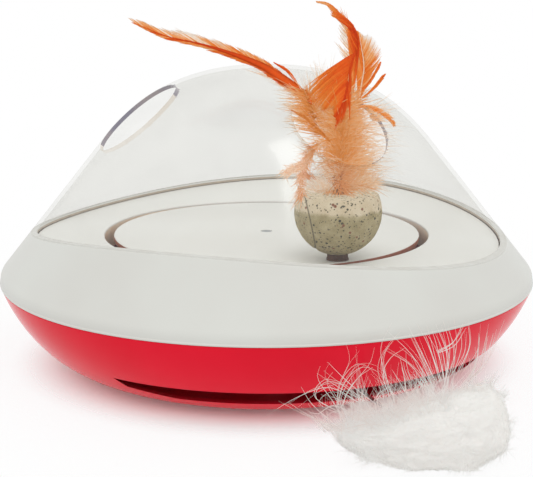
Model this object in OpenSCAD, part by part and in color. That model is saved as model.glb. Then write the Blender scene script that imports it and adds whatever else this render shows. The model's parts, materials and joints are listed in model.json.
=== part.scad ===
// Motorised feather toy for cats: a red bowl base and a white shell under a clear dome.
// A turntable carries a catnip ball with feathers, and a puff on a wire swings in the base's slot.
// Directions are angles from the front (-Y) towards the right (+X). The floor is z = 0.

/* [Casing] */
// Width across the seam between the bowl and the white shell
casing_w = 272; // [260:1:300]
// Height of the seam above the floor
seam_z = 43; // [40:0.5:50]
// Radius of the flat under the bowl
flat_r = 90; // [86:1:96]
// Wall of the bowl and of the white mouldings
casing_wall = 2.5; // [2:0.1:3]
// Height of the bowl's underside above the floor
stand_off = 0.8; // [0.5:0.1:2]
// Height of the white rim above the seam, at the front and the back
rim_rise_high = 33; // [29:0.5:37]
// Height of the white rim above the seam, at the two sides
rim_rise_low = 20; // [17:0.5:24]
// Radius that the conical wall loses for each millimetre of height
cone_slope = 0.8; // [0.76:0.01:0.84]
// Height of the shell's rounded shoulder above the seam
shoulder_rise = 8; // [6:0.5:10]
// Gap between neighbouring casing pieces
casing_gap = 0.3; // [0.2:0.05:0.5]

/* [Bowl slot] */
// Direction of the middle of the slot
slot_az = 45; // [35:1:55]
// Height of the slot's lower edge
slot_low = 10; // [9:0.1:11]
// Height of the slot's upper edge
slot_high = 17.7; // [16.5:0.1:20]
// Width of the slot along its upper edge
slot_w_high = 207; // [190:1:212]
// Width of the slot along its lower edge
slot_w_low = 158; // [140:1:166]

/* [Dome] */
// Wall of the clear dome
dome_wall = 2; // [1.5:0.1:2.5]
// Height above the seam where the dome starts to round over
crown_rise = 70; // [66:0.5:74]
// Height of the top of the dome above the seam
dome_rise = 107.5; // [104:0.5:114]
// Diameter of a paw hole
paw_hole_d = 48; // [40:1:52]
// Direction of a paw hole from the front, mirrored to the other side
paw_hole_az = 52.5; // [49:0.5:55]
// Height of the middle of a paw hole above the seam
paw_hole_rise = 85.5; // [84:0.5:88]
// Upward tilt of a paw hole's axis
paw_hole_tilt = 44; // [40:1:48]

/* [Turntable] */
// Height of the deck and the turntable above the seam
deck_rise = 22; // [20:0.5:24]
// Radius of the turntable
turntable_r = 78.5; // [76:0.5:80]
// Thickness of the turntable
turntable_t = 3; // [2:0.2:4]
// Gap between the turntable and the deck around it
ring_gap = 4.7; // [3:0.1:6]
// Radius of the fixed spindle
spindle_r = 3; // [2.5:0.1:4]
// Running clearance on the spindle and on the axles
run_clear = 0.05; // [0.02:0.01:0.1]
// Radius of the turntable's hub tube
hub_r = 6; // [5.5:0.1:8]

/* [Ball and feathers] */
// Radius of the catnip ball
ball_r = 20.6; // [18:0.1:20.8]
// Height of the ball's flat top above its middle
ball_flat = 8.5; // [7:0.5:12]
// Direction of the ball at rest
ball_az = 48.5; // [46:0.5:51]
// Distance of the ball from the spindle
ball_out = 73; // [71:0.5:73.5]
// Clear height under the ball
ball_lift = 2.3; // [1.5:0.1:3]
// Radius of the pedestal under the ball
pedestal_r = 5; // [4:0.1:5.2]
// Radius of the ferrule that holds the feathers
ferrule_r = 2.4; // [2:0.1:3]

/* [Wagging puff] */
// Direction of the wagging arm at rest
wag_az = 43; // [40:1:46]
// Thickness of the wagging arm
wag_t = 4; // [3:0.2:5]
// Width of the wagging arm
wag_w = 8; // [7:0.5:12]
// Length of the wagging arm from the spindle
wag_l = 92; // [84:1:96]
// Radius of the spring wire
wire_r = 0.8; // [0.5:0.05:1]
// Radius of the crimp sleeve on the wire
crimp_r = 1.7; // [1.4:0.1:1.9]
// Distance of the middle of the puff from the spindle
puff_out = 172; // [170:1:180]
// Half width of the puff
puff_r = 31; // [26:1:32]
// Half height of the puff
puff_half_h = 17; // [14:0.5:19]
// Height of the puff's underside above the floor
puff_clear = 1; // [0.8:0.1:2]

/* [Drive] */
// Gear module
gear_m = 0.8; // [0.7:0.01:0.82]
// Teeth on the turntable's gear
rotor_teeth = 72; // [66:2:74]
// Teeth on the idler's small gear
idler_small_teeth = 12; // [12:1:14]
// Teeth on the idler's large gear
idler_large_teeth = 50; // [46:1:52]
// Teeth on the motor's pinion
pinion_teeth = 10; // [10:1:12]
// Width of the turntable's gear
rotor_gear_w = 6; // [4:0.5:7]
// Width of the idler's large gear
idler_gear_w = 5; // [4:0.5:6]
// Play between meshing teeth
backlash = 0.2; // [0.15:0.01:0.3]
// Direction of the idler from the spindle
idler_az = 225; // [220:1:232]
// Direction of the motor from the idler
motor_turn = 270; // [265:1:280]
// Radius of the idler's axle
axle_r = 1.5; // [1.2:0.1:1.8]
// Radius of the motor can
motor_r = 10; // [9:0.1:11]
// Length of the motor can
motor_l = 25; // [20:0.5:26]

/* [Power] */
// Radius of a battery cell
cell_r = 7.1; // [6.5:0.05:7.2]
// Length of a battery cell without its button
cell_l = 49.5; // [48:0.1:50]
// Direction of the battery box
battery_az = 140; // [136:1:144]
// Wall of the battery box
box_wall = 1.5; // [1:0.1:2]
// Thickness of the battery door
door_t = 1.6; // [1.2:0.1:1.8]
// Travel of the power switch
switch_travel = 4; // [3:0.1:5]
// Radius of the rubber feet
foot_r = 7; // [5:0.1:9]

/* [Hidden] */
$fn = 96;

// Casing heights and radii
seam_r = casing_w / 2;
floor_top = stand_off + casing_wall;
deck_z = seam_z + deck_rise;
rim_high_z = seam_z + rim_rise_high;
rim_low_z = seam_z + rim_rise_low;
crown_z = seam_z + crown_rise;
dome_top_z = seam_z + dome_rise;
shoulder_in = 2.9;
shoulder_edge = 2;
shoulder_pull = 3;
cone_wall = casing_wall * sqrt(1 + cone_slope * cone_slope);
rim_low_r = cone_r(rim_low_z);
rim_over = 6;
cut = 1;
saddle_drop = rim_high_z - rim_low_z;
saddle_r = (rim_low_r * rim_low_r + saddle_drop * saddle_drop) / (2 * saddle_drop);

// Screw posts between the bowl and the shell
post_beyond_flat = 14;
post_out = flat_r + post_beyond_flat;
post_az = [125, 185, 245, 306];
post_r = 5.5;
post_step = 0.5;
post_split_drop = 13;
shelf_rise = 13;
shelf_bite = 1;
post_split_z = seam_z - post_split_drop;
shelf_z = seam_z + shelf_rise;
screw_r = 1.5;
screw_head_r = 3;
screw_head_h = 2.4;
screw_seat_z = 12;
screw_bite = 12;
screw_clear = 0.2;
screw_tip_room = 3;

// Stack on the spindle, from the floor up
wag_z = (slot_low + slot_high) / 2;
wag_hub_lip = 2;
wag_hub_wall = 6;
wag_hub_h = wag_t + 2 * wag_hub_lip;
wag_hub_r = spindle_r + wag_hub_wall;
felt_t = 1.8;
stack_gap = 0.3;
boss_top_z = wag_z - wag_hub_h / 2 - stack_gap;
felt_z = wag_z + wag_hub_h / 2 + stack_gap;
hub_low_z = felt_z + felt_t;
spindle_top_z = deck_z - turntable_t - stack_gap;
rest_gap = 0.02;
felt_lip = 2;
skirt_in = 1.5;
skirt_t = 2;
skirt_h = 4;
centre_screw_wall = 1.8;
centre_head_in = 0.4;
centre_head_h = 1.4;
centre_head_sink = 0.2;
centre_thread_l = 10;
centre_screw_r = spindle_r - centre_screw_wall;
centre_head_r = spindle_r - centre_head_in;

// Gear train: the idler beside the spindle, the motor beside the idler
motor_seat_t = 2;
motor_cap_l = 3;
motor_core_l = 8.3;
cradle_h = 8.3;
boss_wall = 2.5;
gear_air = 2;
gear_step = 3;
motor_z = floor_top + motor_seat_t;
idler_large_z = motor_z + motor_l + gear_air;
rotor_gear_z = idler_large_z + idler_gear_w + gear_step;
idler_out = gear_m * (rotor_teeth + idler_small_teeth) / 2;
motor_out = gear_m * (idler_large_teeth + pinion_teeth) / 2;
idler_xy = polar(idler_out, idler_az);
motor_xy = idler_xy + polar(motor_out, motor_turn);
idler_post_r = axle_r + boss_wall;
cradle_r = motor_r + boss_wall;
motor_shaft_r = 1;
motor_shaft_z = motor_z + motor_cap_l + motor_core_l + stack_gap;
axle_over = 2;
pressure = 25;
tooth_tip = 0.8;
tooth_root = 1.05;
flank_steps = 3;

// Ball and its seat on the turntable
ball_z = deck_z + ball_lift + ball_r;
ball_xy = polar(ball_out, ball_az);
peg_r = 2;
peg_l = 12;
pedestal_seat = 3;
ferrule_depth = 8;
ferrule_show = 3.1;
ball_top_z = ball_z + ball_flat;
ferrule_top_z = ball_top_z + ferrule_show;
crimp_l = 16;
crimp_from = wag_l - crimp_l / 2;

// Power pieces
battery_in = 35;
battery_out = flat_r - battery_in;
cell_gap = 0.8;
cell_pitch = 2 * cell_r + cell_gap;
cell_count = 3;
cell_lift = 0.3;
button_l = 1;
button_r = 2.7;
contact_t = 0.4;
contact_w = 9;
contact_room = 1.5;
box_side_room = 0.6;
box_head_room = 2.8;
box_l = cell_l + button_l + contact_room;
box_w = cell_count * cell_pitch + box_side_room;
box_h = 2 * cell_r + box_head_room;
door_lap = 3;
door_ear_w = 10;
door_ear_l = 7;
door_screw_r = 0.95;
door_screw_l = 5;
door_head_r = 2;
door_head_h = 0.7;
door_boss_wall = 2;
door_boss_h = 5;
door_seat_gap = 0.1;
door_screw_y = box_w / 2 + door_lap + door_ear_l / 2;
board_az = 215;
board_in = 15;
board_out = flat_r - board_in;
board_l = 36;
board_w = 26;
board_t = 1.6;
board_lift = 4.7;
board_z = floor_top + board_lift;
board_post_r = 2.6;
board_post_in = 4;
board_post_x = board_l / 2 - board_post_in;
board_screw_r = 0.75;
board_screw_l = 4;
board_head_r = 1.6;
board_head_h = 1.2;
chip = [12, 8, 1.5];
chip_at = [2, 5];
capacitor_r = 3;
capacitor_h = 8;
capacitor_at = [-2, -7];
switch_az = 290;
switch_in = 30;
switch_out = flat_r - switch_in;
knob_l = 4.6;
knob_w = 4;
knob_flange_l = 8;
knob_flange_w = 6;
knob_flange_t = 1.2;
switch_end_wall = 2;
switch_side_wall = 1.5;
switch_body_h = 7;
switch_room_h = 2.2;
switch_l = knob_flange_l + switch_travel + 2 * switch_end_wall;
switch_w = knob_flange_w + 2 * switch_side_wall;
lead_r = 0.6;
lead_gap = 0.1;
lead_bend = 3;
feet_in = 13;
feet_out = flat_r - feet_in;
feet_az = [20, 90, 195, 270];
foot_recess = 1;

function polar(r, az) = [r * sin(az), -r * cos(az)];
function unit(v) = v / norm(v);
function left_of(v) = [-v[1], v[0]];
function cone_r(z) = seam_r - shoulder_in - cone_slope * (z - seam_z - shoulder_rise);
function saddle_z(x) = rim_high_z - saddle_r + sqrt(saddle_r * saddle_r - x * x);
function bezier(p, t) =
    pow(1 - t, 3) * p[0] + 3 * t * pow(1 - t, 2) * p[1] + 3 * t * t * (1 - t) * p[2] + pow(t, 3) * p[3];
function bezier_run(p, steps) = [for (i = [0:steps]) bezier(p, i / steps)];
function reversed(list) = [for (i = [len(list) - 1:-1:0]) list[i]];
function along(pts, i) = unit(pts[min(i + 1, len(pts) - 1)] - pts[max(i - 1, 0)]);
// A run of points moved to its left by a distance
function inset(pts, d) = [for (i = [0:len(pts) - 1]) pts[i] + d * left_of(along(pts, i))];

// Bowl: from the flat under the base up to the seam
bowl_turn = [24, 2.2];
bowl_flare = [6.4, 17];
bowl_outer = bezier_run([
    [flat_r, stand_off], [flat_r, stand_off] + bowl_turn,
    [seam_r, seam_z] - bowl_flare, [seam_r, seam_z]], 18);
bowl_inner_run = inset(bowl_outer, casing_wall);
bowl_inner = [for (p = bowl_inner_run) [p[0], min(p[1], seam_z)]];

// White shell: an upright edge, a rounded shoulder and the cone
shell_low_z = seam_z + casing_gap;
shell_outer = concat(
    [[seam_r, shell_low_z]],
    bezier_run([
        [seam_r, seam_z + shoulder_edge], [seam_r, seam_z + shoulder_rise - shoulder_pull],
        [seam_r - shoulder_in + shoulder_edge * cone_slope, seam_z + shoulder_rise - shoulder_edge],
        [seam_r - shoulder_in, seam_z + shoulder_rise]], 6),
    [[cone_r(rim_high_z + rim_over), rim_high_z + rim_over]]);
shell_inner_run = inset(shell_outer, casing_wall);
shell_inner = [for (p = shell_inner_run) [p[0], max(p[1], shell_low_z)]];
slot_corner_up = 0.4;
slot_corner_out = 0.74;
lip_gap = 1.5;
lip_t = 1.8;
lip_drop = 2.5;
lip_bite = 0.5;
lip_r = seam_r - casing_wall - lip_gap;
bead_r = 0.7;

// Clear dome: the cone carried on, then a rounded crown
crown_r = cone_r(crown_z);
crown_lead = 0.72;
crown_flat = 0.43;
crown_reach = crown_lead * (dome_top_z - crown_z);
dome_outer = concat(
    [[cone_r(rim_low_z - rim_over), rim_low_z - rim_over]],
    bezier_run([
        [crown_r, crown_z], [crown_r - cone_slope * crown_reach, crown_z + crown_reach],
        [crown_r * crown_flat, dome_top_z], [0, dome_top_z]], 20));
dome_inner_run = inset(dome_outer, dome_wall);
dome_inner = concat(
    [for (i = [0:len(dome_inner_run) - 2]) dome_inner_run[i]],
    [[0, dome_top_z - dome_wall]]);
crown_heights = [for (i = [1:len(dome_outer) - 1]) reversed(dome_outer[i])];
paw_hole_z = seam_z + paw_hole_rise;
paw_hole_out = lookup(paw_hole_z, crown_heights);
paw_cut_l = 60;

// Deck: a dish that rises from the ring gap to the saddle-shaped rim
deck_in_r = turntable_r + ring_gap;
deck_t = 2.2;
deck_skirt = 5;
deck_steps = 72;
// Radius where the saddle meets the shell's inner wall, found by stepping towards it
function rim_reach(az, tries, r) =
    tries == 0 ? r : rim_reach(az, tries - 1, cone_r(saddle_z(r * sin(az))) - cone_wall - casing_gap);
function deck_section(az) =
    let (out = rim_reach(az, 6, rim_low_r), top = saddle_z(out * sin(az)))
    [for (p = [
        [deck_in_r, deck_z], [out, top], [out - deck_t, top - deck_t],
        [deck_in_r + deck_t, deck_z - deck_t], [deck_in_r + deck_t, deck_z - deck_skirt],
        [deck_in_r, deck_z - deck_skirt]
    ]) [p[0] * sin(az), -p[0] * cos(az), p[1]]];

// Feather routes, chosen along the feathers from the plume out to the tips, from the ferrule's top
feather_root = [ball_xy[0], ball_xy[1], ferrule_top_z];
feather_face = [0.354, -0.911, 0.213];
function from_root(points) = [for (p = points) feather_root + p];
long_route = from_root([
    [-3.5, -1.5, 22.5], [-7.5, -2.5, 31.5], [-12.5, -2.5, 37.5], [-19.5, -1.5, 41.5], [-28.5, -0.5, 46.5],
    [-39.5, 2.5, 51.5], [-53.5, 1.5, 57.5], [-68.5, -2.5, 63.5], [-84.5, -6.5, 69.5], [-99.5, -11.5, 74.5]]);
long_half = [1.4, 2, 2.6, 3.2, 3.4, 3.2, 2.8, 2.6, 2, 0.5];
upright_route = from_root([
    [3.5, 2.5, 26.5], [5.5, 3.5, 38.5], [7, 5.5, 48.5], [7, 6.5, 56.5], [5.5, 6.5, 63.5],
    [0.5, 5.5, 73.5], [-5.5, 3.5, 80.5], [-11.5, 0.5, 84.5]]);
upright_half = [1.5, 2.4, 4, 5, 4.6, 3, 2, 0.5];
broad_route = from_root([
    [0.5, -4.5, 27.5], [0, -5, 34.5], [-0.5, -4.5, 41.5], [0.5, -2.5, 49.5], [2.5, -0.5, 57.5],
    [4.5, 1.5, 66.5]]);
broad_half = [2, 6, 12, 13, 9, 2];
feather_t = 0.7;
feather_sides = 8;
plume_route = from_root([
    [0, 0, 0.5], [0.5, -0.5, 6.5], [1, -0.5, 13.5], [1.5, -0.5, 20.5],
    [1.5, -0.5, 28.5], [1, -0.5, 35.5], [0.5, -0.5, 40.5]]);
plume_half = [4.5, 6, 7, 9.5, 12, 11, 5];
plume_sides = 12;

// Puff: lumps around it and up it
puff_rings = 10;
puff_sides = 20;
puff_lump = 0.06;
puff_lobes = 5;
puff_twist = 70;
puff_cap = 84;

// Rings of points joined by triangles, with the two end rings closed
function skin(rings, n) = concat(
    [for (i = [0:rings - 2], j = [0:n - 1]) [i * n + j, (i + 1) * n + j, i * n + (j + 1) % n]],
    [for (i = [0:rings - 2], j = [0:n - 1])
        [i * n + (j + 1) % n, (i + 1) * n + j, (i + 1) * n + (j + 1) % n]]);
function caps(rings, n) = concat(
    [for (j = [1:n - 2]) [0, j, j + 1]],
    [for (j = [1:n - 2]) [(rings - 1) * n, (rings - 1) * n + j + 1, (rings - 1) * n + j]]);

module loft(sections) {
    n = len(sections[0]);
    polyhedron([for (s = sections, p = s) p], concat(skin(len(sections), n), caps(len(sections), n)));
}

// A flat blade or round plume along a route, facing one way
module blade(route, half, thick, face, sides) {
    last = len(route) - 1;
    loft([for (i = [0:last])
        let (t = unit(route[min(i + 1, last)] - route[max(i - 1, 0)]),
            side = unit(cross(t, face)),
            up = cross(side, t))
        [for (k = [0:sides - 1])
            route[i] + half[i] * cos(360 * k / sides) * side
                + min(thick, half[i]) * sin(360 * k / sides) * up]]);
}

// Half angle of a tooth at a radius, with involute flanks down to the base circle
function flare(base, r) = sqrt(pow(max(r, base) / base, 2) - 1) * 180 / PI - acos(base / max(r, base));
function tooth_half(pitch, teeth, r) =
    90 / teeth - backlash / (4 * pitch) * 180 / PI
    + flare(pitch * cos(pressure), pitch) - flare(pitch * cos(pressure), r);
function gear_outline(teeth) =
    let (pitch = gear_m * teeth / 2,
        root = pitch - tooth_root * gear_m,
        tip = pitch + tooth_tip * gear_m,
        start = max(root, pitch * cos(pressure)),
        flank = concat(root < start ? [root] : [],
            [for (i = [0:flank_steps]) start + (tip - start) * i / flank_steps]))
    [for (k = [0:teeth - 1], s = [-1, 1], r = s < 0 ? flank : reversed(flank))
        let (a = 360 * k / teeth + s * tooth_half(pitch, teeth, r))
        r * [cos(a), sin(a)]];

// A gear whose first tooth points along a direction in the XY plane
module gear(teeth, w, turn) {
    rotate([0, 0, turn])
    linear_extrude(w)
    polygon(gear_outline(teeth));
}

module at(az, out, z) {
    rotate([0, 0, az])
    translate([0, -out, z])
    children();
}

module block(size) {
    translate([-size[0] / 2, -size[1] / 2, 0])
    cube(size);
}

// Everything below the saddle that parts the dome from the shell
module under_saddle(raise) {
    translate([0, 0, rim_high_z - saddle_r + raise])
    rotate([90, 0, 0])
    cylinder(r = saddle_r, h = casing_w + 2 * rim_over, center = true, $fn = 720);
}

module bowl_body() {
    rotate_extrude()
    polygon(concat([[0, stand_off]], bowl_outer, [[0, seam_z]]));
}

module at_posts() {
    for (az = post_az)
        at(az, post_out, 0)
        children();
}

module at_feet() {
    for (az = feet_az)
        at(az, feet_out, 0)
        children();
    children();
}

module door_outline(gap) {
    square([box_l + 2 * door_lap - 2 * gap, box_w + 2 * door_lap - 2 * gap], center = true);
    translate([0, (box_w + 2 * door_lap + door_ear_l) / 2 - gap])
    square([door_ear_w - 2 * gap, door_ear_l], center = true);
}

module base_bowl() color("#d81f38") {
    difference() {
        union() {
            difference() {
                rotate_extrude()
                polygon(concat([[0, stand_off]], bowl_outer, reversed(bowl_inner), [[0, floor_top]]));
                bowl_slot();
            }
            intersection() {
                bowl_body();
                at_posts()
                cylinder(r = post_r, h = post_split_z);
            }
            translate([0, 0, stand_off])
            cylinder(r = wag_hub_r, h = boss_top_z - stand_off);
            translate([idler_xy[0], idler_xy[1], stand_off])
            cylinder(r = idler_post_r, h = idler_large_z - stack_gap - stand_off);
            translate([motor_xy[0], motor_xy[1], stand_off])
            cylinder(r = cradle_r, h = motor_z + cradle_h - stand_off);
            at(board_az, board_out, stand_off)
            for (x = [-board_post_x, board_post_x])
                translate([x, 0, 0])
                cylinder(r = board_post_r, h = board_z - stand_off);
            at(battery_az, battery_out, stand_off)
            translate([0, door_screw_y, 0])
            cylinder(r = door_screw_r + door_boss_wall, h = casing_wall + door_boss_h);
        }
        at_posts() {
            cylinder(r = screw_head_r + casing_gap, h = screw_seat_z);
            cylinder(r = screw_r + screw_clear, h = seam_z);
        }
        translate([0, 0, floor_top])
        cylinder(r = spindle_r + rest_gap, h = seam_z);
        translate([idler_xy[0], idler_xy[1], floor_top])
        cylinder(r = axle_r + rest_gap, h = seam_z);
        translate([motor_xy[0], motor_xy[1], motor_z])
        cylinder(r = motor_r + rest_gap, h = seam_z);
        at(board_az, board_out, floor_top)
        for (x = [-board_post_x, board_post_x])
            translate([x, 0, 0])
            cylinder(r = board_screw_r + rest_gap, h = seam_z);
        at(battery_az, battery_out, stand_off - cut) {
            linear_extrude(cut + door_t + door_seat_gap)
            door_outline(0);
            block([box_l, box_w, casing_wall + 2 * cut]);
            translate([0, door_screw_y, 0])
            cylinder(r = door_screw_r + rest_gap, h = cut + door_screw_l + screw_clear);
        }
        at(switch_az, switch_out, 0)
        block([knob_l + switch_travel + 2 * casing_gap, knob_w + 2 * casing_gap, floor_top + cut]);
        at_feet()
        cylinder(r = foot_r + rest_gap, h = stand_off + foot_recess);
    }
}

// The slot's outline from the front, with its lower corners cut back
module bowl_slot() {
    corner_z = slot_low + slot_corner_up * (slot_high - slot_low);
    corner_w = slot_w_low + slot_corner_out * (slot_w_high - slot_w_low);
    rotate([0, 0, slot_az])
    rotate([90, 0, 0])
    linear_extrude(seam_r + cut)
    polygon([
        [-slot_w_low / 2, slot_low], [slot_w_low / 2, slot_low], [corner_w / 2, corner_z],
        [slot_w_high / 2, slot_high], [-slot_w_high / 2, slot_high], [-corner_w / 2, corner_z]]);
}

module rubber_feet() color("#2b2b2b") {
    at_feet()
    cylinder(r = foot_r, h = stand_off + foot_recess);
}

module mid_shell() color("#dcdcd6") {
    difference() {
        union() {
            intersection() {
                rotate_extrude()
                polygon(concat(shell_outer, reversed(shell_inner)));
                under_saddle(0);
            }
            rotate_extrude()
            translate([seam_r - bead_r / 2, shell_low_z + bead_r])
            circle(bead_r);
            rotate_extrude()
            translate([lip_r - lip_t, seam_z - lip_drop])
            square([lip_t, lip_drop + shoulder_rise + lip_bite]);
            rotate_extrude()
            translate([post_out - post_r, shelf_z])
            square([cone_r(shelf_z) - cone_wall / 2 - post_out + post_r - shelf_bite, casing_wall]);
            at_posts()
            translate([0, 0, post_split_z + casing_gap])
            cylinder(r = post_r - post_step, h = shelf_z - post_split_z);
        }
        at_posts()
        translate([0, 0, post_split_z - cut])
        cylinder(r = screw_r + rest_gap, h = cut + screw_bite + screw_tip_room);
    }
}

module deck_ring() color("#e4e4de") {
    sections = [for (i = [0:deck_steps - 1]) deck_section(360 * i / deck_steps)];
    n = len(sections[0]);
    count = deck_steps * n;
    polyhedron(
        [for (s = sections, p = s) p],
        [for (f = skin(deck_steps + 1, n)) [for (k = f) k % count]]);
}

module paw_hole(az) {
    at(az, paw_hole_out, paw_hole_z)
    rotate([90 - paw_hole_tilt, 0, 0])
    cylinder(d = paw_hole_d, h = paw_cut_l, center = true);
}

module clear_dome() color([0.9, 0.91, 0.9, 0.3]) {
    difference() {
        rotate_extrude()
        polygon(concat(dome_outer, reversed(dome_inner)));
        under_saddle(casing_gap);
        for (az = [paw_hole_az, -paw_hole_az])
            paw_hole(az);
    }
}

module shell_screws() color("#8d8f92") {
    at_posts() {
        translate([0, 0, screw_seat_z - screw_head_h])
        cylinder(r = screw_head_r, h = screw_head_h);
        translate([0, 0, screw_seat_z - screw_head_h])
        cylinder(r = screw_r, h = post_split_z + screw_bite - screw_seat_z + screw_head_h);
    }
}

module spindle() color("#b9bbbe") {
    difference() {
        translate([0, 0, floor_top])
        cylinder(r = spindle_r, h = spindle_top_z - floor_top);
        translate([0, 0, spindle_top_z - centre_thread_l - 2 * cut])
        cylinder(r = centre_screw_r + rest_gap, h = centre_thread_l + 3 * cut);
    }
}

module centre_screw() color("#55575a") {
    head_low_z = deck_z - centre_head_sink - centre_head_h;
    translate([0, 0, head_low_z])
    cylinder(r = centre_head_r, h = centre_head_h);
    translate([0, 0, spindle_top_z - centre_thread_l])
    cylinder(r = centre_screw_r, h = head_low_z + centre_head_h / 2 - spindle_top_z + centre_thread_l);
}

module idler_axle() color("#b9bbbe") {
    translate([idler_xy[0], idler_xy[1], floor_top])
    cylinder(r = axle_r, h = rotor_gear_z + rotor_gear_w + axle_over - floor_top);
}

module motor_can() color("#a9abae") {
    translate([motor_xy[0], motor_xy[1], motor_z + motor_cap_l])
    difference() {
        cylinder(r = motor_r, h = motor_l - motor_cap_l);
        translate([0, 0, motor_core_l])
        cylinder(r = motor_shaft_r + run_clear, h = motor_l);
    }
}

module motor_end_cap() color("#f0f0ea") {
    translate([motor_xy[0], motor_xy[1], motor_z])
    cylinder(r = motor_r - rest_gap, h = motor_cap_l);
}

module battery_box() color("#2f3033") {
    at(battery_az, battery_out, floor_top)
    difference() {
        block([box_l + 2 * box_wall, box_w + 2 * box_wall, box_h + box_wall]);
        translate([0, 0, -cut])
        block([box_l, box_w, box_h + cut]);
    }
}

module at_cells() {
    for (k = [0:cell_count - 1])
        at(battery_az, battery_out, floor_top + cell_r + cell_lift)
        translate([0, (k - (cell_count - 1) / 2) * cell_pitch, 0])
        rotate([0, 0, 180 * (k % 2)])
        children();
}

module batteries() color("#3b6b4a") {
    at_cells()
    rotate([0, 90, 0]) {
        translate([0, 0, -(cell_l + button_l) / 2])
        cylinder(r = cell_r, h = cell_l);
        translate([0, 0, -(cell_l + button_l) / 2])
        cylinder(r = button_r, h = cell_l + button_l);
    }
}

module battery_contacts() color("#c9b37a") {
    at_cells()
    for (s = [-1, 1])
        translate([s * ((cell_l + button_l) / 2 + contact_t), 0, -cell_r / 2])
        block([contact_t, contact_w, cell_r]);
}

module battery_door() color("#c91c33") {
    at(battery_az, battery_out, stand_off)
    difference() {
        linear_extrude(door_t)
        door_outline(casing_gap);
        translate([0, door_screw_y, -cut]) {
            cylinder(r = door_screw_r + screw_clear, h = door_t + 2 * cut);
            cylinder(r = door_head_r + casing_gap, h = cut + door_seat_gap + door_head_h);
        }
    }
}

module door_screw() color("#8d8f92") {
    at(battery_az, battery_out, stand_off)
    translate([0, door_screw_y, door_seat_gap]) {
        cylinder(r = door_head_r, h = door_head_h);
        cylinder(r = door_screw_r, h = door_screw_l);
    }
}

module control_board() color("#2f7a4b") {
    at(board_az, board_out, board_z) {
        difference() {
            block([board_l, board_w, board_t]);
            for (x = [-board_post_x, board_post_x])
                translate([x, 0, -cut])
                cylinder(r = board_screw_r + screw_clear, h = board_t + 2 * cut);
        }
        translate(concat(chip_at, board_t))
        block(chip);
        translate(concat(capacitor_at, board_t))
        cylinder(r = capacitor_r, h = capacitor_h);
    }
}

module board_screws() color("#8d8f92") {
    at(board_az, board_out, board_z + board_t)
    for (x = [-board_post_x, board_post_x])
        translate([x, 0, 0]) {
            cylinder(r = board_head_r, h = board_head_h);
            translate([0, 0, -board_t - board_screw_l])
            cylinder(r = board_screw_r, h = board_t + board_screw_l);
        }
}

module switch_body() color("#3a3b3e") {
    at(switch_az, switch_out, floor_top)
    difference() {
        block([switch_l, switch_w, switch_body_h]);
        translate([0, 0, -cut])
        block([knob_flange_l + switch_travel + 2 * casing_gap, knob_flange_w + 2 * casing_gap,
            switch_room_h + cut]);
    }
}

module switch_slider() color("#f2f2ee") {
    at(switch_az, switch_out, 0)
    translate([-switch_travel / 2, 0, 0]) {
        translate([0, 0, stand_off])
        block([knob_l, knob_w, floor_top - stand_off + casing_gap]);
        translate([0, 0, floor_top + casing_gap])
        block([knob_flange_l, knob_flange_w, knob_flange_t]);
    }
}

// A round lead along its route
module lead(points) {
    blade(points, [for (p = points) lead_r], lead_r, feather_face, feather_sides);
}

module wiring() color("#b02a2a") {
    low = floor_top + lead_r + lead_gap;
    box_end = concat(polar(battery_out, battery_az), low);
    board_mid = concat(polar(board_out, board_az), low);
    switch_mid = concat(polar(switch_out, switch_az), low);
    motor_mid = [motor_xy[0], motor_xy[1], low];
    under_board = [0, 0, board_z - low - casing_gap];
    lead_end = lead_r + lead_gap;
    box_reach = box_l / 2 + box_wall + lead_end;
    box_side = box_end + box_reach * [cos(battery_az), sin(battery_az), 0];
    switch_side = switch_mid - concat(polar(switch_w / 2 + lead_end, switch_az), 0);
    switch_tail = switch_mid - (switch_l / 2 + lead_end) * [cos(switch_az), sin(switch_az), 0];
    box_corner = box_side + lead_bend * [cos(battery_az), sin(battery_az), 0]
        - concat(polar(box_w / 2 + lead_bend, battery_az), 0);
    motor_left = motor_mid - [cradle_r + lead_bend, 0, 0];
    motor_corner = motor_mid + cradle_r * [-1, 1, 0];
    lead([box_side, board_mid + [10, -4, 0], board_mid + [10, -4, 0] + under_board]);
    lead([motor_mid + [-1, cradle_r + lead_end, 0], board_mid + [6, -8, 0],
        board_mid + [6, -8, 0] + under_board]);
    lead([box_side - concat(polar(box_w / 5, battery_az), 0), box_corner, [-12, 12, low],
        [-30, -8, low], switch_side]);
    lead([switch_tail, motor_left, motor_corner, board_mid + [-2, -9, 0],
        board_mid + [-2, -9, 0] + under_board]);
}

module turntable() color("#e6e6e0") {
    skirt_r = turntable_r - skirt_in;
    difference() {
        union() {
            translate([0, 0, deck_z - turntable_t])
            cylinder(r = turntable_r, h = turntable_t);
            translate([0, 0, hub_low_z])
            cylinder(r = hub_r, h = deck_z - turntable_t / 2 - hub_low_z);
            translate([0, 0, deck_z - turntable_t - skirt_h])
            difference() {
                cylinder(r = skirt_r, h = skirt_h + turntable_t / 2);
                translate([0, 0, -cut])
                cylinder(r = skirt_r - skirt_t, h = skirt_h + turntable_t);
            }
        }
        translate([0, 0, hub_low_z - cut])
        cylinder(r = spindle_r + run_clear, h = deck_z - turntable_t - hub_low_z + cut);
        translate([0, 0, hub_low_z])
        cylinder(r = centre_screw_r + stack_gap, h = deck_z);
        translate([0, 0, deck_z - centre_head_h - centre_head_sink - screw_clear])
        cylinder(r = centre_head_r + stack_gap, h = centre_head_h + cut);
    }
}

module rotor_gear() color("#d8d3c4") {
    translate([0, 0, rotor_gear_z])
    difference() {
        gear(rotor_teeth, rotor_gear_w, idler_az - 90);
        translate([0, 0, -cut])
        cylinder(r = hub_r + rest_gap, h = rotor_gear_w + 2 * cut);
    }
}

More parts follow.
